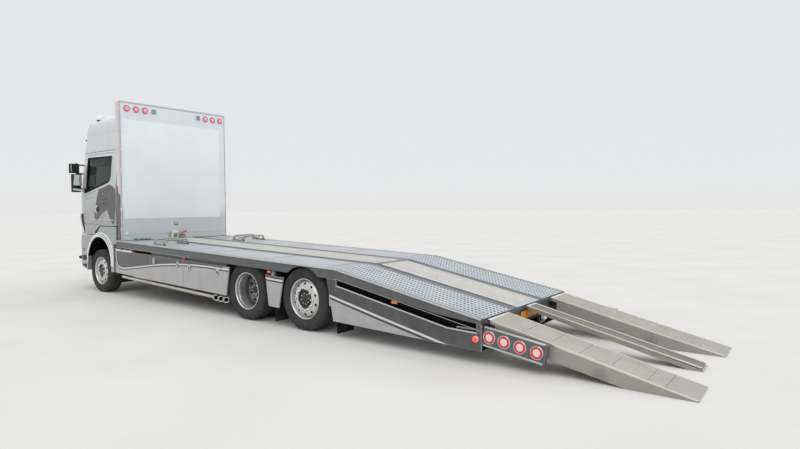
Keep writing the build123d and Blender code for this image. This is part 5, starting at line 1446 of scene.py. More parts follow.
# ================================================================ wheel stops
def stops():
    b = Build()
    for x, s, ya, yb in ((2.750, 1, 0.660, 1.140), (2.670, -1, 0.600, 1.140)):
        for y in (ya, yb):
            for dx in (-0.155, 0.155):
                z0 = deck_z(x + dx) + 0.0005
                # pressed foot plate with two bolts under each leg, and a gusset up the leg
                b.box((x + dx - 0.030, s * y - 0.030, z0 - 0.0035), (x + dx + 0.030, s * y + 0.030, z0 + 0.004), 0, 0.002)
                b.hexbolt((x + dx - 0.020, s * (y - 0.019), z0 + 0.004), (0, 0, 1), 0.0055, 0.004, 1)
                b.hexbolt((x + dx + 0.020, s * (y + 0.019), z0 + 0.004), (0, 0, 1), 0.0055, 0.004, 1)
                b.prism([(x + dx - 0.017, z0 + 0.03), (x + dx + 0.017, z0 + 0.03), (x + dx + 0.004, z0 + 0.085), (x + dx - 0.004, z0 + 0.085)],
                        s * (y + 0.016), s * (y + 0.020), "y", 0, 0.0008)
            for dx in (-0.186, 0.186):
                z0 = deck_z(x + dx) + 0.0005
                b.lathe([(0.0175, 0), (0.0175, 0.003), (0.012, 0.0055), (0.002, 0.006)], 20, 2, axes((x + dx, s * y, z0 + 0.018), (1 if dx > 0 else -1, 0, 0)))
        # cross plates between the two hoops, where a tyre rests
        z0 = deck_z(x) + 0.0005
        for y in (ya + 0.09, yb - 0.09):
            b.tube([(x - 0.155, s * y, z0 + 0.084), (x - 0.120, s * y, z0 + 0.050), (x + 0.120, s * y, z0 + 0.050), (x + 0.155, s * y, z0 + 0.100)], 0.009, 10, 0)
    b.done("wheel_stop_fittings", ["zinc", "chrome", "mould"], "chassis", 35)


stops()


# ================================================================ tail: lamp boards, plate, hooks, cross beam fittings
def tail():
    t = math.radians(8.6)
    for sd in (1, -1):
        nm = "left" if sd > 0 else "right"
        # local frame of a board: X rearwards along it, Y down it, Z outwards
        ex = Vector((-math.cos(t), 0, -math.sin(t)))
        ey = Vector((math.sin(t), 0, -math.cos(t)))
        ez = Vector((0, sd, 0))
        o = Vector((-4.318, sd * 1.266, 0.440))
        A = Matrix(((ex.x, ey.x, ez.x, o.x), (ex.y, ey.y, ez.y, o.y), (ex.z, ey.z, ez.z, o.z), (0, 0, 0, 1)))
        b = Build()
        L, H = 0.750, 0.215
        # trims: top channel, bottom channel, end upright that hangs a little lower
        b.box((0.004, -0.004, -0.037), (L - 0.028, 0.009, 0.005), 1, 0.0025, A)
        b.box((0.016, H - 0.017, -0.036), (L - 0.028, H + 0.003, 0.007), 1, 0.0025, A)
        b.box((L - 0.030, -0.003, -0.038), (L + 0.002, H + 0.030, 0.006), 2, 0.004, A)
        b.box((-0.001, 0.0, -0.036), (0.012, H, 0.004), 2, 0.002, A)
        # folded inner face
        b.box((0.020, 0.018, -0.040), (L - 0.040, H - 0.022, -0.033), 2, 0.002, A)
        for k, x in enumerate((0.076, 0.258, 0.447, 0.641)):
            c = (x, 0.108, 0)
            Q = A @ Matrix.Translation(c)
            F = Q @ Matrix.Diagonal((1, 1, 0.42, 1))  # a flat lamp: it stays clear of the skirt when the board swings
            b.lathe([(0.0745, 0.0), (0.0745, 0.009), (0.0725, 0.0150), (0.0700, 0.0165), (0.0672, 0.0140), (0.0668, 0.004)], 56, 3, F, caps=False)
            b.lathe([(0.0670, 0.002), (0.0665, 0.0130), (0.0620, 0.0190), (0.0480, 0.0220), (0.0420, 0.0215), (0.0405, 0.0170)], 56, 4, F, caps=False)
            b.lathe([(0.0410, 0.002), (0.0410, 0.0195), (0.0370, 0.0225), (0.0220, 0.0252), (0.0100, 0.0262), (0.001, 0.0264)], 44, 5, F, caps=False)
            b.lathe([(0.0385, -0.050), (0.0385, -0.040), (0.030, -0.036)], 28, 6, Q)  # lamp body and plug behind the board
            b.box((-0.018, -0.012, -0.062), (0.018, 0.012, -0.049), 6, 0.003, Q)
            for q in range(3):
                a = 2 * PI * q / 3 + 0.5
                b.lathe([(0.0042, 0.005), (0.0042, 0.0078), (0.001, 0.0082)], 8, 6, Q @ Matrix.Translation((0.0715 * math.cos(a), 0.0715 * math.sin(a), 0)))
        # hinge knuckles at the corner
        for y in (0.035, 0.175):
            b.tube([tuple(A @ Vector((0.002, y - 0.022, -0.026))), tuple(A @ Vector((0.002, y + 0.022, -0.026)))], 0.008, 12, 6)
        b.done("lamp_board_look_" + nm, ["boardp", "alu", "boardp", "chrome", "redlens", "pinklens", "mould"], "lamp_board_" + nm, 35)

    b = Build()
    X = -4.282
    # blank amber plate on its holder, the white lamp and bracket beside it
    b.box((X - 0.006, -0.246, 0.330), (X + 0.004, 0.262, 0.448), 1, 0.003)
    b.prism(rounded([(0.255, 0.338), (0.255, 0.440), (-0.238, 0.440), (-0.238, 0.338)], 0.010, 3), X - 0.0095, X - 0.004, "x", 0, 0.001)
    for y in (0.235, -0.218):
        b.rivet((X - 0.0095, y, 0.389), (-1, 0, 0), 0.006, 2)
    b.box((X - 0.030, -0.300, 0.190), (X + 0.002, -0.270, 0.430), 3, 0.004)
    b.box((X - 0.036, -0.452, 0.205), (X + 0.002, -0.318, 0.222), 2, 0.004)
    b.prism(rounded([(-0.405, 0.232), (-0.405, 0.330), (-0.505, 0.330), (-0.505, 0.232)], 0.018, 4), X - 0.045, X, "x", 4, 0.008, None, 3)
    b.box((X - 0.040, -0.400, 0.345), (X + 0.002, -0.310, 0.360), 2, 0.003)
    # lower edge flange and bolts of the tail beam
    b.box((X - 0.004, -1.20, 0.302), (X + 0.004, 1.20, 0.314), 3, 0.002)
    for y in (-1.10, -0.95, -0.60, 0.42, 0.60, 0.95, 1.10):
        b.hexbolt((X, y, 0.345 if abs(y) > 0.5 else 0.40), (-1, 0, 0), 0.011, 0.008, 2)
    # hooks that hold the ramp heads
    for y in (1.155, 0.685, -0.685, -1.155):
        w = 0.018 if abs(y) > 0.2 else 0.010
        b.prism(rounded([(-4.283, 0.500), (-4.283, 0.380), (-4.330, 0.366), (-4.352, 0.410), (-4.322, 0.425), (-4.330, 0.450), (-4.350, 0.472), (-4.338, 0.503), (-4.300, 0.510)], 0.006, 3),
                y * 1.0 - w * 0.0 + (0.028 if y > 0 else -0.028), y + (0.034 if y > 0 else -0.034), "y", 3, 0.0015)
    # cross member and hangers under the deck's end, behind the plate, painted near black as shade
    b.box((-4.205, -1.130, 0.112), (-4.150, 1.130, 0.212), 5, 0.006)
    for y in (-1.05, -0.36, 0.36, 1.05):
        b.box((-4.196, y - 0.030, 0.200), (-4.160, y + 0.030, 0.330), 5, 0.004)
    b.box((-4.150, -1.130, 0.118), (-4.146, 1.130, 0.330), 5, 0.001)
    # cables on the beam
    b.tube([(X - 0.012, y, z) for y, z in ((1.19, 0.40), (0.95, 0.372), (0.60, 0.380), (0.30, 0.322), (-0.28, 0.318), (-0.60, 0.372), (-0.95, 0.366), (-1.19, 0.40))], 0.007, 8, 3)
    b.done("tail_fittings", ["plate", "mould", "zinc", "iron", "white_lens", "void"], "chassis", 35)


tail()


PIPE_Y = 1.2050


def flap_edges():
    """The flaps' outer edges: rubber that reaches out to the skirts, with a pressed rib and two bolts."""
    b = Build()
    for sd in (1, -1):
        for x, zt, zb, top, y0, y1 in ((4.415, 0.600, 0.250, 0.430, 1.148, 1.228), (-0.690, 0.560, 0.060, 0.285, 1.188, 1.238), (-1.985, 0.560, 0.045, 0.300, 1.188, 1.238)):
            t = (zt - top) / (zt - zb)
            xt = x - 0.030 * t
            b.prism([(xt, top), (xt - 0.012, top), (x - 0.042, zb), (x - 0.030, zb)], sd * y0, sd * y1, "y", 0, 0.002)
            b.prism([(xt + 0.001, top), (xt - 0.015, top), (x - 0.045, zb + 0.004), (x - 0.029, zb + 0.004)], sd * (y1 - 0.008), sd * y1, "y", 0, 0.002)
            for k in (0.25, 0.8):
                z = top + (zb - top) * k
                b.rivet((xt - 0.0135 - (x - 0.030 - xt) * 0.0 - 0.030 * (1 - t) * k, sd * (y0 + 0.020), z), (-1, 0, 0), 0.006, 1)
    b.done("mudflap_edges", ["flap", "zinc"], "chassis", 35)


flap_edges()


def pipe_mouths():
    b = Build()
    for sd in (1, -1):
        for x, z in ((0.820, 0.284), (0.680, 0.277), (0.540, 0.271)):
            A = axes((x + 0.045, sd * (PIPE_Y - 0.025), z + 0.001), (-1, 0.9 * sd, 0), (0, 0, 1))
            # the pipe's inside, painted near black as shade
            b.lathe([(0.0420, 0.090), (0.0420, 0.030), (0.0010, 0.029)], 28, 1, A, caps=False)
            b.lathe([(0.0427, 0.0915), (0.0435, 0.0945), (0.0464, 0.0955), (0.0493, 0.0940), (0.0499, 0.0900), (0.0493, 0.0860), (0.0485, 0.0880), (0.0476, 0.0915)],
                    36, 0, A, closed=True)
            b.lathe([(0.0492, 0.020), (0.0510, 0.024), (0.0510, 0.036), (0.0492, 0.040), (0.0485, 0.030)], 36, 0, A, closed=True)
    b.done("side_pipe_mouths", ["chrome", "void"], "chassis", 35)


pipe_mouths()


# ================================================================ cab: its outer surface as a function, then what sits on it
def circle3(a, b, c):
    (ax, ay), (bx, by), (cx, cy) = a, b, c
    d = 2 * (ax * (by - cy) + bx * (cy - ay) + cx * (ay - by))
    x = ((ax * ax + ay * ay) * (by - cy) + (bx * bx + by * by) * (cy - ay) + (cx * cx + cy * cy) * (ay - by)) / d
    y = ((ax * ax + ay * ay) * (cx - bx) + (bx * bx + by * by) * (ax - cx) + (cx * cx + cy * cy) * (bx - ax)) / d
    return x, y, math.hypot(ax - x, ay - y)


LEAN = 0.2603
W_ARC = circle3((1.240, 1.85), (1.220, 2.45), (1.160, 3.04))
R_ARC = circle3((1.140, 3.40), (1.085, 3.70), (0.900, 3.845))
P_CORNER = circle3((5.70, 1.240), (6.14, 1.080), (6.39, 0.70))
P_FRONT = circle3((6.39, 0.70), (6.45, 0.0), (6.39, -0.70))
S_LOW = circle3((6.425, 1.25), (6.45, 1.65), (6.425, 2.10))
S_HIGH = circle3((6.425, 2.10), (6.33, 2.58), (6.18, 3.04))
BUMPER = circle3((5.868, 1.236), (6.175, 1.082), (6.39, 0.70))


def plan_y(x):
    if x <= 5.70:
        return 1.240
    cx, cy, r = P_CORNER if x <= 6.39 else P_FRONT
    return cy + math.sqrt(max(r * r - (x - cx) ** 2, 0.0))


def plan_x(y):
    cx, cy, r = P_CORNER if abs(y) > 0.70 else P_FRONT
    return cx + math.sqrt(max(r * r - (abs(y) - cy) ** 2, 0.0))


def lean(z):
    return LEAN * max(0.0, z - 2.1) if z <= 3.0405 else 0.245 + 0.3 * (z - 3.041)


def cab_y(x, z):
    """Half width of the cab, and of its roof, at a place on the side."""
    if z <= 1.85:
        w = 1.240
    elif z <= 3.0405:
        w = W_ARC[0] + math.sqrt(W_ARC[2] ** 2 - (z - W_ARC[1]) ** 2)
    elif z <= 3.40:
        w = 1.158 - 0.018 * (z - 3.041) / 0.359
    else:
        w = R_ARC[0] + math.sqrt(max(R_ARC[2] ** 2 - (z - R_ARC[1]) ** 2, 0.0))
    return min(w, plan_y(x + lean(z)))


def cab_x(y, z):
    """How far forward the cab's front is at a place on it."""
    c = S_LOW if z <= 2.1 else S_HIGH
    side = c[0] + math.sqrt(max(c[2] ** 2 - (z - c[1]) ** 2, 0.0)) if z <= 3.0405 else 6.178 - 0.43 * (z - 3.041)
    return min(side, plan_x(y) - lean(z))


DOOR_EDGE = [(5.668, 1.480), (5.668, 2.985), (4.418, 2.985), (4.418, 2.300), (4.490, 2.150), (4.880, 1.560), (4.940, 1.480)]
WINDOW_EDGE = [(5.598, 2.165), (5.598, 2.925), (4.490, 2.905), (4.490, 2.480), (4.530, 2.400), (4.600, 2.362)]
SWOOSH = rounded([(4.541, 2.315), (5.014, 2.219), (5.105, 2.024), (5.139, 1.875), (5.228, 1.739), (5.196, 1.589), (5.104, 1.540), (4.993, 1.615),
                  (4.883, 1.689), (4.645, 1.786), (4.620, 1.762), (4.432, 1.486), (4.333, 1.476), (4.256, 1.832), (4.254, 2.068), (4.272, 2.212),
                  (4.417, 2.287)], 0.05, 5)
WELL = (5.050, 0.658)
FLARE = [(4, 0.5416), (20, 0.560), (52, 0.588), (73, 0.623), (103, 0.690), (126, 0.745), (148, 0.760), (170, 0.700), (193, 0.685)]


def cab_sides():
    for sd in (1, -1):
        side = "left" if sd > 0 else "right"

        def on(t):
            return lambda p: (p[0], sd * (cab_y(p[0], p[1]) + t), p[1])

        door_in, door_out = inset(DOOR_EDGE, 0.0025), inset(DOOR_EDGE, -0.0125)
        glass_hole = inset(WINDOW_EDGE, 0.016)
        seal_out = inset(WINDOW_EDGE, -0.011)
        cuts = [ribbon([(4.20, z), (5.30, z)], 0.007) for z in (1.87, 1.915, 2.00, 2.045)]

        # ---- on the door
        b = Build()
        rings = [SWOOSH, door_in, seal_out] + cuts
        shell(b, rings, lambda p: inside(p, SWOOSH) and inside(p, door_in) and not inside(p, seal_out) and not any(inside(p, c) for c in cuts),
              on(0.0010), on(-0.0008), 0, 0.08)
        shell(b, rings, lambda p: inside(p, SWOOSH) and inside(p, door_in) and any(inside(p, c) for c in cuts), on(0.0010), on(-0.0008), 6, 0.08)
        shell(b, [rounded(seal_out, 0.03, 4), rounded(glass_hole, 0.02, 4)],
              lambda p: inside(p, rounded(seal_out, 0.03, 4)) and not inside(p, rounded(glass_hole, 0.02, 4)), on(0.0035), on(-0.016), 1, 0.09)
        # pressed crease under the glass and along the sill: a white strip as its painted highlight, with a dark strip
        # under it as its painted shadow
        for pts, w, t, m in (([(5.650, 2.118), (5.10, 2.236)], 0.014, 0.0045, 2), ([(5.650, 2.098), (5.12, 2.210)], 0.006, 0.0006, 3),
                             ([(5.405, 1.566), (4.895, 1.566)], 0.014, 0.0055, 2), ([(5.405, 1.553), (4.90, 1.553)], 0.007, 0.0006, 3),
                             ([(5.655, 2.032), (5.16, 2.06)], 0.005, 0.0004, 3)):
            r = ribbon(pts, w)
            shell(b, [r], lambda p, r=r: inside(p, r), on(t), on(-0.001), m)
        # weather strip along the bottom of the glass
        r = ribbon([(5.590, 2.178), (4.612, 2.371), (4.545, 2.412)], 0.018)
        shell(b, [r, door_in], lambda p, r=r: inside(p, r) and inside(p, door_in), on(0.008), on(-0.004), 1)
        # handle: dark cup with its grip and bright ends
        A = axes((5.085, sd * cab_y(5.085, 1.79), 1.79), (0, sd, 0), (0, 0, 1))
        b.prism(rounded([(-0.080, -0.036), (0.080, -0.036), (0.080, 0.036), (-0.080, 0.036)], 0.028, 5), -0.002, 0.004, "z", 3, 0.0015, A)
        b.tube([tuple(A @ Vector(q)) for q in ((-0.066, 0, 0.003), (-0.060, 0, 0.026), (-0.030, 0, 0.034), (0.030, 0, 0.034), (0.060, 0, 0.026), (0.066, 0, 0.003))],
               0.0125, 12, 2)
        for q in (-0.064, 0.064):
            b.lathe([(0.024, 0.0), (0.024, 0.007), (0.018, 0.014), (0.002, 0.016)], 20, 2, A @ Matrix.Translation((q, 0, 0)))
        b.lathe([(0.013, 0.0), (0.013, 0.005), (0.009, 0.008), (0.001, 0.009)], 18, 4, axes((4.80, sd * cab_y(4.80, 2.128), 2.128), (0, sd, 0)))
        # black mount of the mirror's lower bracket on the door's front corner
        b.prism(rounded([(5.662, 2.150), (5.662, 2.285), (5.600, 2.230), (5.590, 2.168)], 0.014, 4), sd * (cab_y(5.63, 2.2) - 0.004), sd * (cab_y(5.63, 2.2) + 0.016), "y", 1, 0.004)
        # inner trim of the door: panel, pocket and arm rest
        b.prism(rounded([(5.600, 1.520), (5.600, 2.100), (4.700, 2.290), (4.560, 2.250), (4.960, 1.520)], 0.05, 4), sd * 1.168, sd * 1.179, "y", 5, 0.004)
        b.box((4.98, sd * 1.120, 1.930), (5.50, sd * 1.170, 1.985), 5, 0.015, None, 3)
        b.box((5.05, sd * 1.135, 1.560), (5.55, sd * 1.170, 1.700), 5, 0.012, None, 3)
        b.done("door_look_" + side, ["cabdark", "rubber", "white", "mould", "chrome", "dash", "mould"], "door_" + side, 30)

        # ---- on the cab body
        b = Build()
        notch = [(4.200, 1.448), (5.004, 1.448), (5.214, 1.317), (5.240, 1.250), (5.240, 1.200), (4.200, 1.200)]
        shell(b, [SWOOSH, door_out] + cuts, lambda p: inside(p, SWOOSH) and not inside(p, door_out) and p[1] > 1.45,
              on(0.0010), on(-0.0008), 0, 0.08)
        # the sill crease on the body: white strip as painted highlight, dark strip under it as painted shadow, and an
        # upright dark line by the door's front edge
        for pts, w, t, m in (([(4.862, 1.566), (4.356, 1.566)], 0.014, 0.0055, 2), ([(4.858, 1.553), (4.356, 1.553)], 0.007, 0.0006, 3),
                             ([(5.69, 1.36), (5.69, 2.92)], 0.004, 0.0004, 3)):
            r = ribbon(pts, w)
            shell(b, [r], lambda p, r=r: inside(p, r), on(t), on(-0.001), m)
        # inside of the notch over the wheel: a black sheet as painted shade
        nz = [(4.256, 1.252), (4.256, 1.446), (5.003, 1.446), (5.210, 1.318), (5.236, 1.252)]
        shell(b, [nz], lambda p: inside(p, nz), lambda p: (p[0], sd * 1.2035, p[1]), lambda p: (p[0], sd * 1.1990, p[1]), 3)
        # door opening: returns that close the gap from behind, black as painted shade
        ring_a, ring_b = inset(DOOR_EDGE, -0.014), inset(DOOR_EDGE, 0.030)
        shell(b, [ring_a, ring_b], lambda p: inside(p, ring_a) and not inside(p, ring_b),
              lambda p: (p[0], sd * (cab_y(p[0], p[1]) - 0.0655), p[1]), lambda p: (p[0], sd * (cab_y(p[0], p[1]) - 0.0700), p[1]), 3, 0.12)
        # corner air deflector: a white rim that stands proud, with a black duct behind it
        rim = smooth_line([(5.800, 1.705), (5.835, 1.660), (5.838, 1.600), (5.812, 1.510), (5.765, 1.395), (5.722, 1.300)], 5)
        b.tube([(x, sd * (1.262 - 0.012 * abs(z - 1.58) / 0.28), z) for x, z in rim], 0.0135, 12, 2)
        duct = [(x - 0.006, z) for x, z in rim] + [(5.700, 1.330), (5.702, 1.420), (5.742, 1.560), (5.752, 1.660), (5.775, 1.700)]
        shell(b, [duct], lambda p: inside(p, duct), lambda p: (p[0], sd * 1.2440, p[1]), on(-0.004), 3, 0.05)
        # seam between the cab and its high roof, the drip rail under it and two pressed lines in the roof's side
        for z, r, m in ((3.0405, 0.0055, 3), (2.9985, 0.0070, 2)):
            pts = [(x, sd * (cab_y(x, z) - 0.001), z) for x in [4.262 + 0.1 * k for k in range(17)]]
            ys = [cab_y(5.862, z) - 0.03 * k for k in range(1, 40)]
            pts += [(cab_x(y, z) - 0.001, sd * y, z) for y in ys if y > 0 and cab_x(y, z) > 5.88]
            pts.append((cab_x(0, z) - 0.001, 0.0, z))
            b.tube(pts, r, 8, m)
        for x0, x1, z in ((4.63, 5.14, 3.178), (4.55, 5.45, 3.118)):
            b.tube([(x0 + (x1 - x0) * k / 8, sd * (cab_y(x0 + (x1 - x0) * k / 8, z) - 0.003), z) for k in range(9)], 0.0055, 8, 2)
        # steps inside the door opening
        b.box((5.05, sd * 1.10, 1.472), (5.62, sd * 1.16, 1.478), 4, 0.002)
        b.done("cab_side_look_" + side, ["cabdark", "rubber", "white", "mould", "alu"], "cab", 30)

        # ---- wheel arch on the chassis: pressed ridges painted near white as their highlight, dark edge lines beside them as painted shade, step treads, lamps
        b = Build()
        # the ridges' near-white colour is painted highlight
        for t in (0.09, 0.36, 0.64):
            pts = []
            for k in range(41):
                a = -4 + 190 * k / 40
                r = 0.5416 + (lerp_table(FLARE, max(a, 4)) - 0.5416) * t + 0.006
                p = (WELL[0] + r * math.cos(math.radians(a)), WELL[1] + r * math.sin(math.radians(a)))
                ok = (p[0] > 4.386 and p[1] < 1.231) or (4.268 < p[0] and 1.066 < p[1] < 1.42 - max(0, p[0] - 4.972) * 0.9)
                if ok and p[1] > 0.52:
                    pts.append((p[0], sd * 1.2395, p[1]))
            b.tube(pts, 0.0150, 12, 0)
            if t < 0.6:
                # dark lines beside the ridges: painted shade
                q = [(WELL[0] + (x - WELL[0]) * 1.040, y, WELL[1] + (z - WELL[1]) * 1.040) for x, y, z in pts]
                q = [(x, sd * 1.2402, z) for x, y, z in q if (x > 4.39 and z < 1.228) or 1.07 < z < 1.42 - max(0, x - 4.972) * 0.9]
                b.tube(q, 0.0055, 8, 4)
        b.tube([(4.270, sd * 1.2405, 1.064), (4.410, sd * 1.2405, 1.064)], 0.004, 8, 1)
        # rolled lip round the opening, and the inside of the wheel house painted near black as shade
        b.tube([(WELL[0] + 0.543 * math.cos(math.radians(a)), sd * 1.236, WELL[1] + 0.543 * math.sin(math.radians(a))) for a in range(4, 177, 4)], 0.006, 8, 1)
        vs, fs = [], []
        n = 48
        for k in range(n + 1):
            a = math.radians(11.5 + (171.0 - 11.5) * k / n)
            for r, y in ((0.5406, 0.830), (0.5406, 1.2345), (0.5386, 1.2345), (0.5386, 0.830)):
                vs.append((WELL[0] + r * math.cos(a), sd * y, WELL[1] + r * math.sin(a)))
        for k in range(n):
            for q in range(4):
                fs.append((k * 4 + q, k * 4 + (q + 1) % 4, (k + 1) * 4 + (q + 1) % 4, (k + 1) * 4 + q))
        fs += [(3, 2, 1, 0), (n * 4, n * 4 + 1, n * 4 + 2, n * 4 + 3)]
        b.add(vs, fs, 5)
        # bright edge of the lowest step, ribbed treads
        for z0, z1 in ((0.503, 0.549), (0.671, 0.671)):
            for k in range(9):
                x = 5.672 + 0.0215 * k
                z = z0 + (z1 - z0) * k / 8.6
                b.box((x - 0.004, sd * 0.965, z), (x + 0.004, sd * 1.155, z + 0.0035), 2, 0.001)
        b.tube([(5.600, sd * 1.2405, 0.466), (5.850, sd * 1.2405, 0.524)], 0.006, 8, 2)
        for z0, z1, x0 in ((0.672, 0.775, 5.640),):
            b.tube([(x0, sd * 1.2405, z0), (5.835, sd * 1.2405, z0), (5.835, sd * 1.2405, z1), (x0, sd * 1.2405, z1)], 0.004, 8, 1, True)
        # amber marker at the bumper's joint
        lamp_marker(b, (5.792, sd * 1.241, 0.905), (0, sd, 0), (0, 0, 1), 0.090, 0.030, 1, 3, 0.012)
        b.done("arch_look_" + side, ["ridge", "mould", "alu", "amber", "iron", "void"], "chassis", 35)


cab_sides()


def mirrors_look():
    b = Build()
    for sd in (1, -1):
        # rear faces: framed main glass, wide-angle glass under it, the upper head's bracket line
        x, y0, y1 = 5.745, 1.272, 1.438
        A = axes((x - 0.016, sd * 1.355, 2.445), (-math.cos(0.24), sd * math.sin(0.24), 0.02), (0, 0, 1))
        b.prism(rounded([(-0.118, -0.080), (0.118, -0.080), (0.118, 0.080), (-0.118, 0.080)], 0.022, 4), 0.0, 0.004, "z", 0, 0.001, A)
        b.prism(rounded([(-0.124, -0.086), (0.124, -0.086), (0.124, 0.086), (-0.124, 0.086)], 0.026, 4), -0.010, 0.001, "z", 1, 0.002, A)
        b.prism(rounded([(sd * (y0 - 0.008), 2.315), (sd * (y1 + 0.008), 2.315), (sd * (y1 + 0.008), 2.572), (sd * (y0 - 0.008), 2.572)], 0.028, 4), x - 0.0030, x + 0.008, "x", 1, 0.002)
        b.prism(rounded([(sd * (y0 - 0.004), 2.196), (sd * (y1 + 0.004), 2.218), (sd * (y1 + 0.004), 2.262), (sd * (y0 - 0.004), 2.244)], 0.014, 4), x - 0.014, x + 0.006, "x", 2, 0.005)
        b.prism(rounded([(sd * 1.280, 2.612), (sd * 1.455, 2.612), (sd * 1.455, 2.796), (sd * 1.280, 2.796)], 0.024, 4), 5.8015, 5.812, "x", 1, 0.003)
        b.tube([(5.800, sd * 1.442, 2.790), (5.797, sd * 1.452, 2.700), (5.800, sd * 1.436, 2.622)], 0.0045, 8, 2)
        # joint bosses on the post and rubber feet on the pillar
        for z in (2.210, 2.378, 2.595, 2.705, 2.810):
            b.lathe([(0.024, -0.016), (0.026, -0.010), (0.026, 0.010), (0.024, 0.016)], 18, 1, axes((5.880, sd * 1.300, z), (0, 0, 1)))
        # long arm to the front third of the door's window, held off the glass
        b.tube([(5.870, sd * 1.302, 2.585), (5.760, sd * 1.300, 2.590), (5.690, sd * 1.285, 2.592)], 0.013, 12, 1)
    b.done("mirror_glasses", ["mirror", "mould", "white"], "cab", 35)


mirrors_look()


def roof_look():
    b = Build()
    # beacon on its stalk
    x, y, zb = 5.560, 0.905, 3.610
    b.lathe([(0.055, 0.0), (0.055, 0.008), (0.020, 0.014), (0.018, 0.150), (0.074, 0.158), (0.082, 0.166), (0.082, 0.182)], 36, 1, Matrix.Translation((x, y, zb)))
    b.lathe([(0.084, 0.180), (0.086, 0.190), (0.086, 0.236), (0.076, 0.264), (0.050, 0.280), (0.020, 0.286), (0.001, 0.287)], 40, 0, Matrix.Translation((x, y, zb)))
    for k in range(12):
        a = 2 * PI * k / 12
        b.box((0.0855, -0.003, 0.192), (0.0885, 0.003, 0.234), 0, 0.001, Matrix.Translation((x, y, zb)) @ Matrix.Rotation(a, 4, "Z"))
    # a driving lamp on each side of the roof's front, white shells and dark glasses
    for yy in (-0.985, 0.985):
        xx, zz = 5.720, 3.640
        A = axes((xx, yy, zz), (1, 0, 0.05), (0, 1, 0))
        b.lathe([(0.012, -0.095), (0.045, -0.085), (0.066, -0.050), (0.074, 0.0), (0.074, 0.012), (0.070, 0.016), (0.066, 0.010)], 32, 2, A, caps=False)
        b.lathe([(0.0680, 0.002), (0.0680, 0.010), (0.0560, 0.0150), (0.0300, 0.0185), (0.001, 0.0195)], 32, 3, A)
        b.lathe([(0.070, 0.000), (0.076, 0.004), (0.076, 0.014), (0.072, 0.018)], 32, 1, A, caps=False)
        b.tube([(xx - 0.02, yy + 0.083 * math.cos(math.radians(a)), zz + 0.083 * math.sin(math.radians(a))) for a in range(-185, 6, 10)], 0.011, 8, 1)
        b.tube([(xx - 0.01, yy, zz - 0.185), (xx - 0.01, yy, zz - 0.060)], 0.014, 10, 1)
        b.box((xx - 0.05, yy - 0.035, zz - 0.192), (xx + 0.03, yy + 0.035, zz - 0.135), 1, 0.008)
    # two tinted marker lamps in the corners of the roof, and a lug on the left one
    for yy in (-0.80, 0.80):
        xx = cab_x(abs(yy), 3.20)
        b.prism(rounded([(yy - 0.055, 3.188), (yy + 0.055, 3.188), (yy + 0.055, 3.222), (yy - 0.055, 3.222)], 0.012, 4), xx - 0.060, xx + 0.004, "x", 4, 0.003)
    b.box((5.745, 1.085, 3.318), (5.800, 1.135, 3.352), 1, 0.006)
    # sun visor over the windscreen
    outer = [(cab_x(y / 20.0, 2.985) + 0.05, y / 20.0) for y in range(-19, 20)]
    for (xa, ya), (xb, yb) in zip(outer, outer[1:]):
        b.add([(xa, ya, 2.975), (xb, yb, 2.975), (xb - 0.045, yb, 3.035), (xa - 0.045, ya, 3.035),
               (xa - 0.006, ya, 2.973), (xb - 0.006, yb, 2.973), (xb - 0.051, yb, 3.033), (xa - 0.051, ya, 3.033)],
              [(0, 1, 2, 3), (7, 6, 5, 4), (0, 4, 5, 1), (3, 2, 6, 7), (0, 3, 7, 4), (1, 5, 6, 2)], 5)
    b.done("roof_fittings", ["white_lens", "mould", "white", "glassdark", "amber", "visor"], "cab", 35)


roof_look()


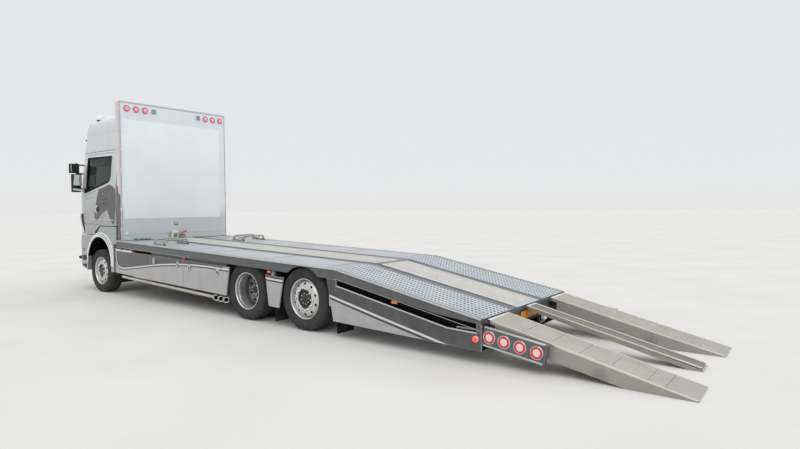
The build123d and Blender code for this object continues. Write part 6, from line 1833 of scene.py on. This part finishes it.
def front_look():
    """The front isn't seen in the photo: plain grille bars, lamps, wipers and handles of a usual kind, without any badge."""
    b = Build()
    def face(y, z, t):
        return (cab_x(y, z) + t, y, z)
    # grille openings: dark field with bars
    for z0, z1 in ((1.300, 1.560), (1.600, 1.820)):
        fld = rounded([(-0.780, z0), (0.780, z0), (0.820, z1), (-0.820, z1)], 0.04, 4)
        shell(b, [fld], lambda p, f=fld: inside(p, f), lambda p: face(p[0], p[1], 0.0015), lambda p: face(p[0], p[1], -0.0015), 1, 0.08)
        n = 5
        for k in range(n):
            z = z0 + (z1 - z0) * (k + 0.5) / n
            b.tube([face(y / 10.0 * 0.76, z, 0.008) for y in range(-10, 11)], [0.011] * 21, 8, 2)
    # black wiper panel, wipers
    fld = rounded([(-1.00, 2.085), (1.00, 2.085), (1.02, 2.175), (-1.02, 2.175)], 0.03, 4)
    shell(b, [fld], lambda p, f=fld: inside(p, f) and abs(p[0]) < 1.03, lambda p: face(p[0], p[1], 0.002), lambda p: face(p[0], p[1], -0.002), 1, 0.08)
    for y, way in ((-0.62, 1), (0.0, 1), (0.62, 1)):
        b.lathe([(0.020, 0.0), (0.020, 0.016), (0.014, 0.022), (0.001, 0.023)], 16, 1, axes(face(y, 2.13, 0.0), (1, 0, 0)))
        b.tube([face(y + 0.10 * k * 0.9, 2.13 + 0.035 * k * 0.9, 0.020) for k in range(4)], 0.008, 8, 1)
        b.tube([face(y - 0.02 + 0.10 * k, 2.195 + 0.012 * k, 0.010) for k in range(6)], 0.006, 8, 1)
    # outline of the windscreen's black seal; nothing is built from it
    ring = [(y, z) for y, z in ((-1.062, 2.190), (1.062, 2.190), (1.062, 2.915), (-1.062, 2.915))]
    # grab handles on the front panel
    for y in (-0.60, 0.60):
        b.tube([face(y - 0.10, 1.93, 0.0), face(y - 0.10, 1.93, 0.035), face(y + 0.10, 1.93, 0.035), face(y + 0.10, 1.93, 0.0)], 0.009, 10, 1)
    b.done("front_trim", ["cab", "mould", "iron"], "cab", 30)

    b = Build()
    def bx(y, t):
        y = abs(y)
        if y <= 0.70:
            c = P_FRONT
            return c[0] + math.sqrt(c[2] ** 2 - y * y) + t
        return BUMPER[0] + math.sqrt(max(BUMPER[2] ** 2 - (y - BUMPER[1]) ** 2, 0)) + t
    def strip(y0, y1, z0, z1, t, m, n=14):
        poly = rounded([(y0, z0), (y1, z0), (y1, z1), (y0, z1)], min(0.03, abs(z1 - z0) * 0.3), 4)
        shell(b, [poly], lambda p: inside(p, poly), lambda p: (bx(p[0], t), p[0], p[1]), lambda p: (bx(p[0], -0.002), p[0], p[1]), m, 0.06)
    strip(-0.62, 0.62, 0.600, 0.900, 0.003, 1)
    for k in range(5):
        z = 0.635 + 0.055 * k
        b.tube([(bx(y / 10.0 * 0.6, 0.007), y / 10.0 * 0.6, z) for y in range(-10, 11)], 0.008, 8, 4)
    strip(-0.26, 0.26, 0.955, 1.065, 0.010, 5)
    for sd in (1, -1):
        a, c = sorted((sd * 0.74, sd * 1.03))
        strip(a, c, 0.850, 1.040, 0.004, 1)
        for q, r in ((0.82, 0.070), (0.955, 0.058)):
            A = axes((bx(q, 0.0), sd * q, 0.945), (1, sd * (0.25 if q < 0.9 else 0.8), 0))
            b.lathe([(r, 0.0), (r, 0.010), (r - 0.006, 0.014), (r - 0.010, 0.009)], 32, 3, A, caps=False)
            b.lathe([(r - 0.009, 0.002), (r - 0.010, 0.011), (r * 0.5, 0.018), (0.001, 0.020)], 32, 2, A)
        a, c = sorted((sd * 1.045, sd * 1.140))
        strip(a, c, 0.880, 1.010, 0.006, 6)
        a, c = sorted((sd * 0.76, sd * 1.225))
        strip(a, c, 0.665, 0.780, 0.004, 1)
        # round dark red lamp that sticks out at the corner
        A = axes((5.965, sd * 1.150, 0.722), (0.70, sd * 0.50, -0.06))
        b.lathe([(0.030, 0.0), (0.034, 0.030), (0.036, 0.085), (0.034, 0.094)], 24, 1, A)
        b.lathe([(0.033, 0.080), (0.035, 0.098), (0.030, 0.112), (0.012, 0.120), (0.001, 0.121)], 24, 7, A)
    b.done("bumper_trim", ["cab", "mould", "white_lens", "chrome", "iron", "blank", "amber", "maroon"], "chassis", 30)


front_look()


# ================================================================ seats and bunk: pads blown up by a cloth simulation
def pad(name, size, place, mat, cap, body, channels=(), push=(0, 0, 0)):
    """A cushion of that size in its own axes, drawn a little small, swollen by the simulation, with sewn channels."""
    sx, sy, sz = size
    bm = bmesh.new()
    bmesh.ops.create_cube(bm, size=1.0)
    for v in bm.verts:
        v.co = Vector((v.co.x * sx, v.co.y * sy, v.co.z * sz))
    bmesh.ops.bevel(bm, geom=bm.edges[:], offset=min(size) * 0.28, segments=4, profile=0.5, affect="EDGES")
    me = bpy.data.meshes.new(name + "_start")
    bm.to_mesh(me)
    bm.free()
    o = bpy.data.objects.new(name, me)
    sc = bpy.context.scene
    sc.collection.objects.link(o)
    rm = o.modifiers.new("remesh", "REMESH")
    rm.mode, rm.voxel_size = "VOXEL", (0.016 if max(size) > 1.2 else 0.011)
    dg = bpy.context.evaluated_depsgraph_get()
    me2 = bpy.data.meshes.new_from_object(o.evaluated_get(dg), depsgraph=dg)
    o.modifiers.clear()
    o.data = me2
    start = [v.co.copy() for v in me2.vertices]
    pins = o.vertex_groups.new(name="rest")
    low = min(v.z for v in start)
    pins.add([i for i, v in enumerate(start) if v.z < low + 0.012], 1.0, "REPLACE")
    cl = o.modifiers.new("cloth", "CLOTH")
    st = cl.settings
    st.quality, st.mass = 4, 0.25
    st.use_pressure, st.uniform_pressure_force = True, 4.0
    st.effector_weights.gravity = 0.0
    st.tension_stiffness = st.compression_stiffness = 22
    st.vertex_group_mass = "rest"
    cl.collision_settings.use_collision = False
    for fr in range(1, 21):
        sc.frame_set(fr)
    dg = bpy.context.evaluated_depsgraph_get()
    me3 = bpy.data.meshes.new_from_object(o.evaluated_get(dg), depsgraph=dg)
    o.modifiers.clear()
    for v, s in zip(me3.vertices, start):
        d = v.co - s
        if d.length > cap:
            v.co = s + d.normalized() * cap
    o.data = me3
    sc.frame_set(1)
    top = max(v.co.z for v in o.data.vertices)
    for v in o.data.vertices:
        near = max(0.0, v.co.z / max(top, 1e-6))
        for ax, at in channels:
            d = v.co[ax] - at
            v.co.z -= 0.010 * near * math.exp(-(d / 0.013) ** 2)
    for p in o.data.polygons:
        p.use_smooth = True
    o.data.materials.clear()
    o.data.materials.append(M[mat])
    o.data.transform(place)
    sb = o.modifiers.new("soft", "SUBSURF")
    sb.levels = sb.render_levels = 1
    dg = bpy.context.evaluated_depsgraph_get()
    me4 = bpy.data.meshes.new_from_object(o.evaluated_get(dg), depsgraph=dg)
    o.modifiers.clear()
    o.data = me4
    for p in o.data.polygons:
        p.use_smooth = True
    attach(o, body)
    return o


def soft_parts():
    T, R = Matrix.Translation, Matrix.Rotation
    first = None
    for sd in (1, -1):
        side = "left" if sd > 0 else "right"
        y = 0.640 * sd
        c = pad("seat_cushion_" + side, (0.470, 0.465, 0.105), T((5.270, y, 1.712)) @ R(math.radians(-3), 4, "Y"), "seat", 0.014, "cab", [(1, -0.13), (1, 0.13), (0, 0.06)])
        k = pad("seat_back_" + side, (0.640, 0.450, 0.090), T((5.060, y, 2.130)) @ R(math.radians(-80), 4, "Y") @ R(math.radians(0), 4, "Z"), "seat", 0.014, "cab",
                [(1, -0.12), (1, 0.12), (0, 0.10), (0, -0.12)])
        h = pad("seat_head_" + side, (0.115, 0.270, 0.085), T((4.992, y, 2.500)) @ R(math.radians(-80), 4, "Y"), "seat", 0.010, "cab")
        first = first or c
    m = pad("bunk_mattress", (0.510, 2.150, 0.120), T((4.590, 0, 1.590)), "bunk", 0.016, "cab", [(1, -0.72), (1, -0.36), (1, 0.0), (1, 0.36), (1, 0.72)])
    # pedestals, shells, belts and the bunk's base box
    b = Build()
    for sd in (1, -1):
        y = 0.640 * sd
        b.prism(rounded([(5.425, 1.312), (5.425, 1.500), (5.400, 1.630), (5.110, 1.630), (5.090, 1.500), (5.090, 1.312)], 0.03, 4), y - 0.150, y + 0.150, "y", 0, 0.010)
        b.box((5.055, y - 0.215, 1.626), (5.480, y + 0.215, 1.654), 0, 0.010)
        b.prism(rounded([(5.040, 1.650), (4.945, 2.440), (4.965, 2.444), (5.062, 1.650)], 0.008, 3), y - 0.205, y + 0.205, "y", 0, 0.004)
        for q in (-0.05, 0.05):
            b.tube([(4.985, y + q, 2.400), (4.975, y + q, 2.470)], 0.007, 8, 1)
        b.box((5.10, y - 0.262, 1.700), (5.36, y - 0.238, 1.742), 0, 0.008, None, 3)
        b.tube([(5.00, y + sd * 0.215, 2.45), (5.075, y + sd * 0.20, 2.10), (5.20, y + sd * 0.245, 1.70)], 0.011, 8, 2)
    b.done("seat_frames", ["dash", "chrome", "flap"], "cab", 35)
    b = Build()
    b.box((4.325, -1.085, 1.3125), (4.855, 1.085, 1.525), 0, 0.012, None, 3)
    for y in (-0.72, 0.0, 0.72):
        b.box((4.853, y - 0.30, 1.345), (4.861, y + 0.30, 1.495), 0, 0.003)
        b.tube([(4.862, y - 0.05, 1.455), (4.872, y, 1.452), (4.862, y + 0.05, 1.455)], 0.004, 8, 1)
    b.done("bunk_base", ["dash", "chrome"], "cab", 35)
    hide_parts("seats")
    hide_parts("bunk")


soft_parts()


def cabin_look():
    """Curtain rails and small blinds along the sides, a sun blind, dashboard trim."""
    b = Build()
    for sd in (1, -1):
        b.tube([(4.40, sd * 1.075, 2.94), (5.50, sd * 1.060, 2.95)], 0.008, 8, 1)
        b.prism(rounded([(5.060, 2.765), (5.600, 2.735), (5.600, 2.905), (5.060, 2.905)], 0.020, 4), sd * 1.040, sd * 1.052, "y", 0, 0.004)
    b.box((5.900, -0.95, 2.780), (5.915, 0.95, 2.960), 0, 0.004)
    b.done("cabin_blinds", ["cream", "mould"], "cab", 30)
    b = Build()
    b.box((6.020, -0.80, 2.120), (6.160, 0.80, 2.160), 0, 0.016, None, 3)
    b.prism(rounded([(5.955, 1.935), (5.940, 2.085), (6.010, 2.115), (6.030, 1.960)], 0.014, 3), 0.33, 0.80, "y", 1, 0.006)
    for y in (0.45, 0.565, 0.68):
        b.lathe([(0.040, 0.0), (0.040, 0.006), (0.034, 0.007), (0.033, 0.003), (0.001, 0.003)], 24, 2, axes((5.945, y, 2.020), (-1, 0, 0.1)))
    b.box((5.950, -0.10, 1.800), (5.975, 0.20, 2.060), 1, 0.010)
    b.done("dashboard_trim", ["dash", "dashlight", "mould"], "cab", 30)


cabin_look()


# ================================================================ finishes of the kept CAD nodes
dress("chassis_frame", "chassis", 0.004)
dress("engine_block", "iron", 0.012)
dress("front_axle", "iron", 0.0)
dress("drive_axle", "iron", 0.0)
dress("tag_axle", "iron", 0.0)
dress("suspension", "chassis", 0.0)
dress("knuckle_left", "iron", 0.0)
dress("knuckle_right", "iron", 0.0)
dress("tanks", "tank", 0.006)
dress("deck_frame", "rail", 0.0022)
dress("headboard", "head", 0.006, 3)
dress("wheel_stops", "zinc", 0.0)
dress("side_skirts", "skirt", 0.003)
dress("locker_boxes", "locker", 0.002)
for nm in ("front_left", "rear_left", "front_right", "rear_right"):
    dress("locker_door_" + nm, "skirt", 0.003)
dress("mudflaps", "flap", 0.003)
dress("side_pipes", "pipe", 0.0)
dress("cab_body", "cab", 0.0)
dress("cab_roof", "cab", 0.0)
dress("door_left", "cab", 0.0)
dress("door_right", "cab", 0.0)
dress("front_panel", "cab", 0.0)
dress("front_bumper", "cab", 0.0)
dress("front_fenders", "cab", 0.0)
dress("windscreen", "glass")
dress("door_glass_left", "glass")
dress("door_glass_right", "glass")
dress("dashboard", "dash", 0.0)
dress("mirrors", "mould", 0.0)
dress("lamp_board_left", "boardp", 0.004)
dress("lamp_board_right", "boardp", 0.004)
for nm in ("left", "right", "centre"):
    dress("ramp_" + nm, "ramp", 0.0025)
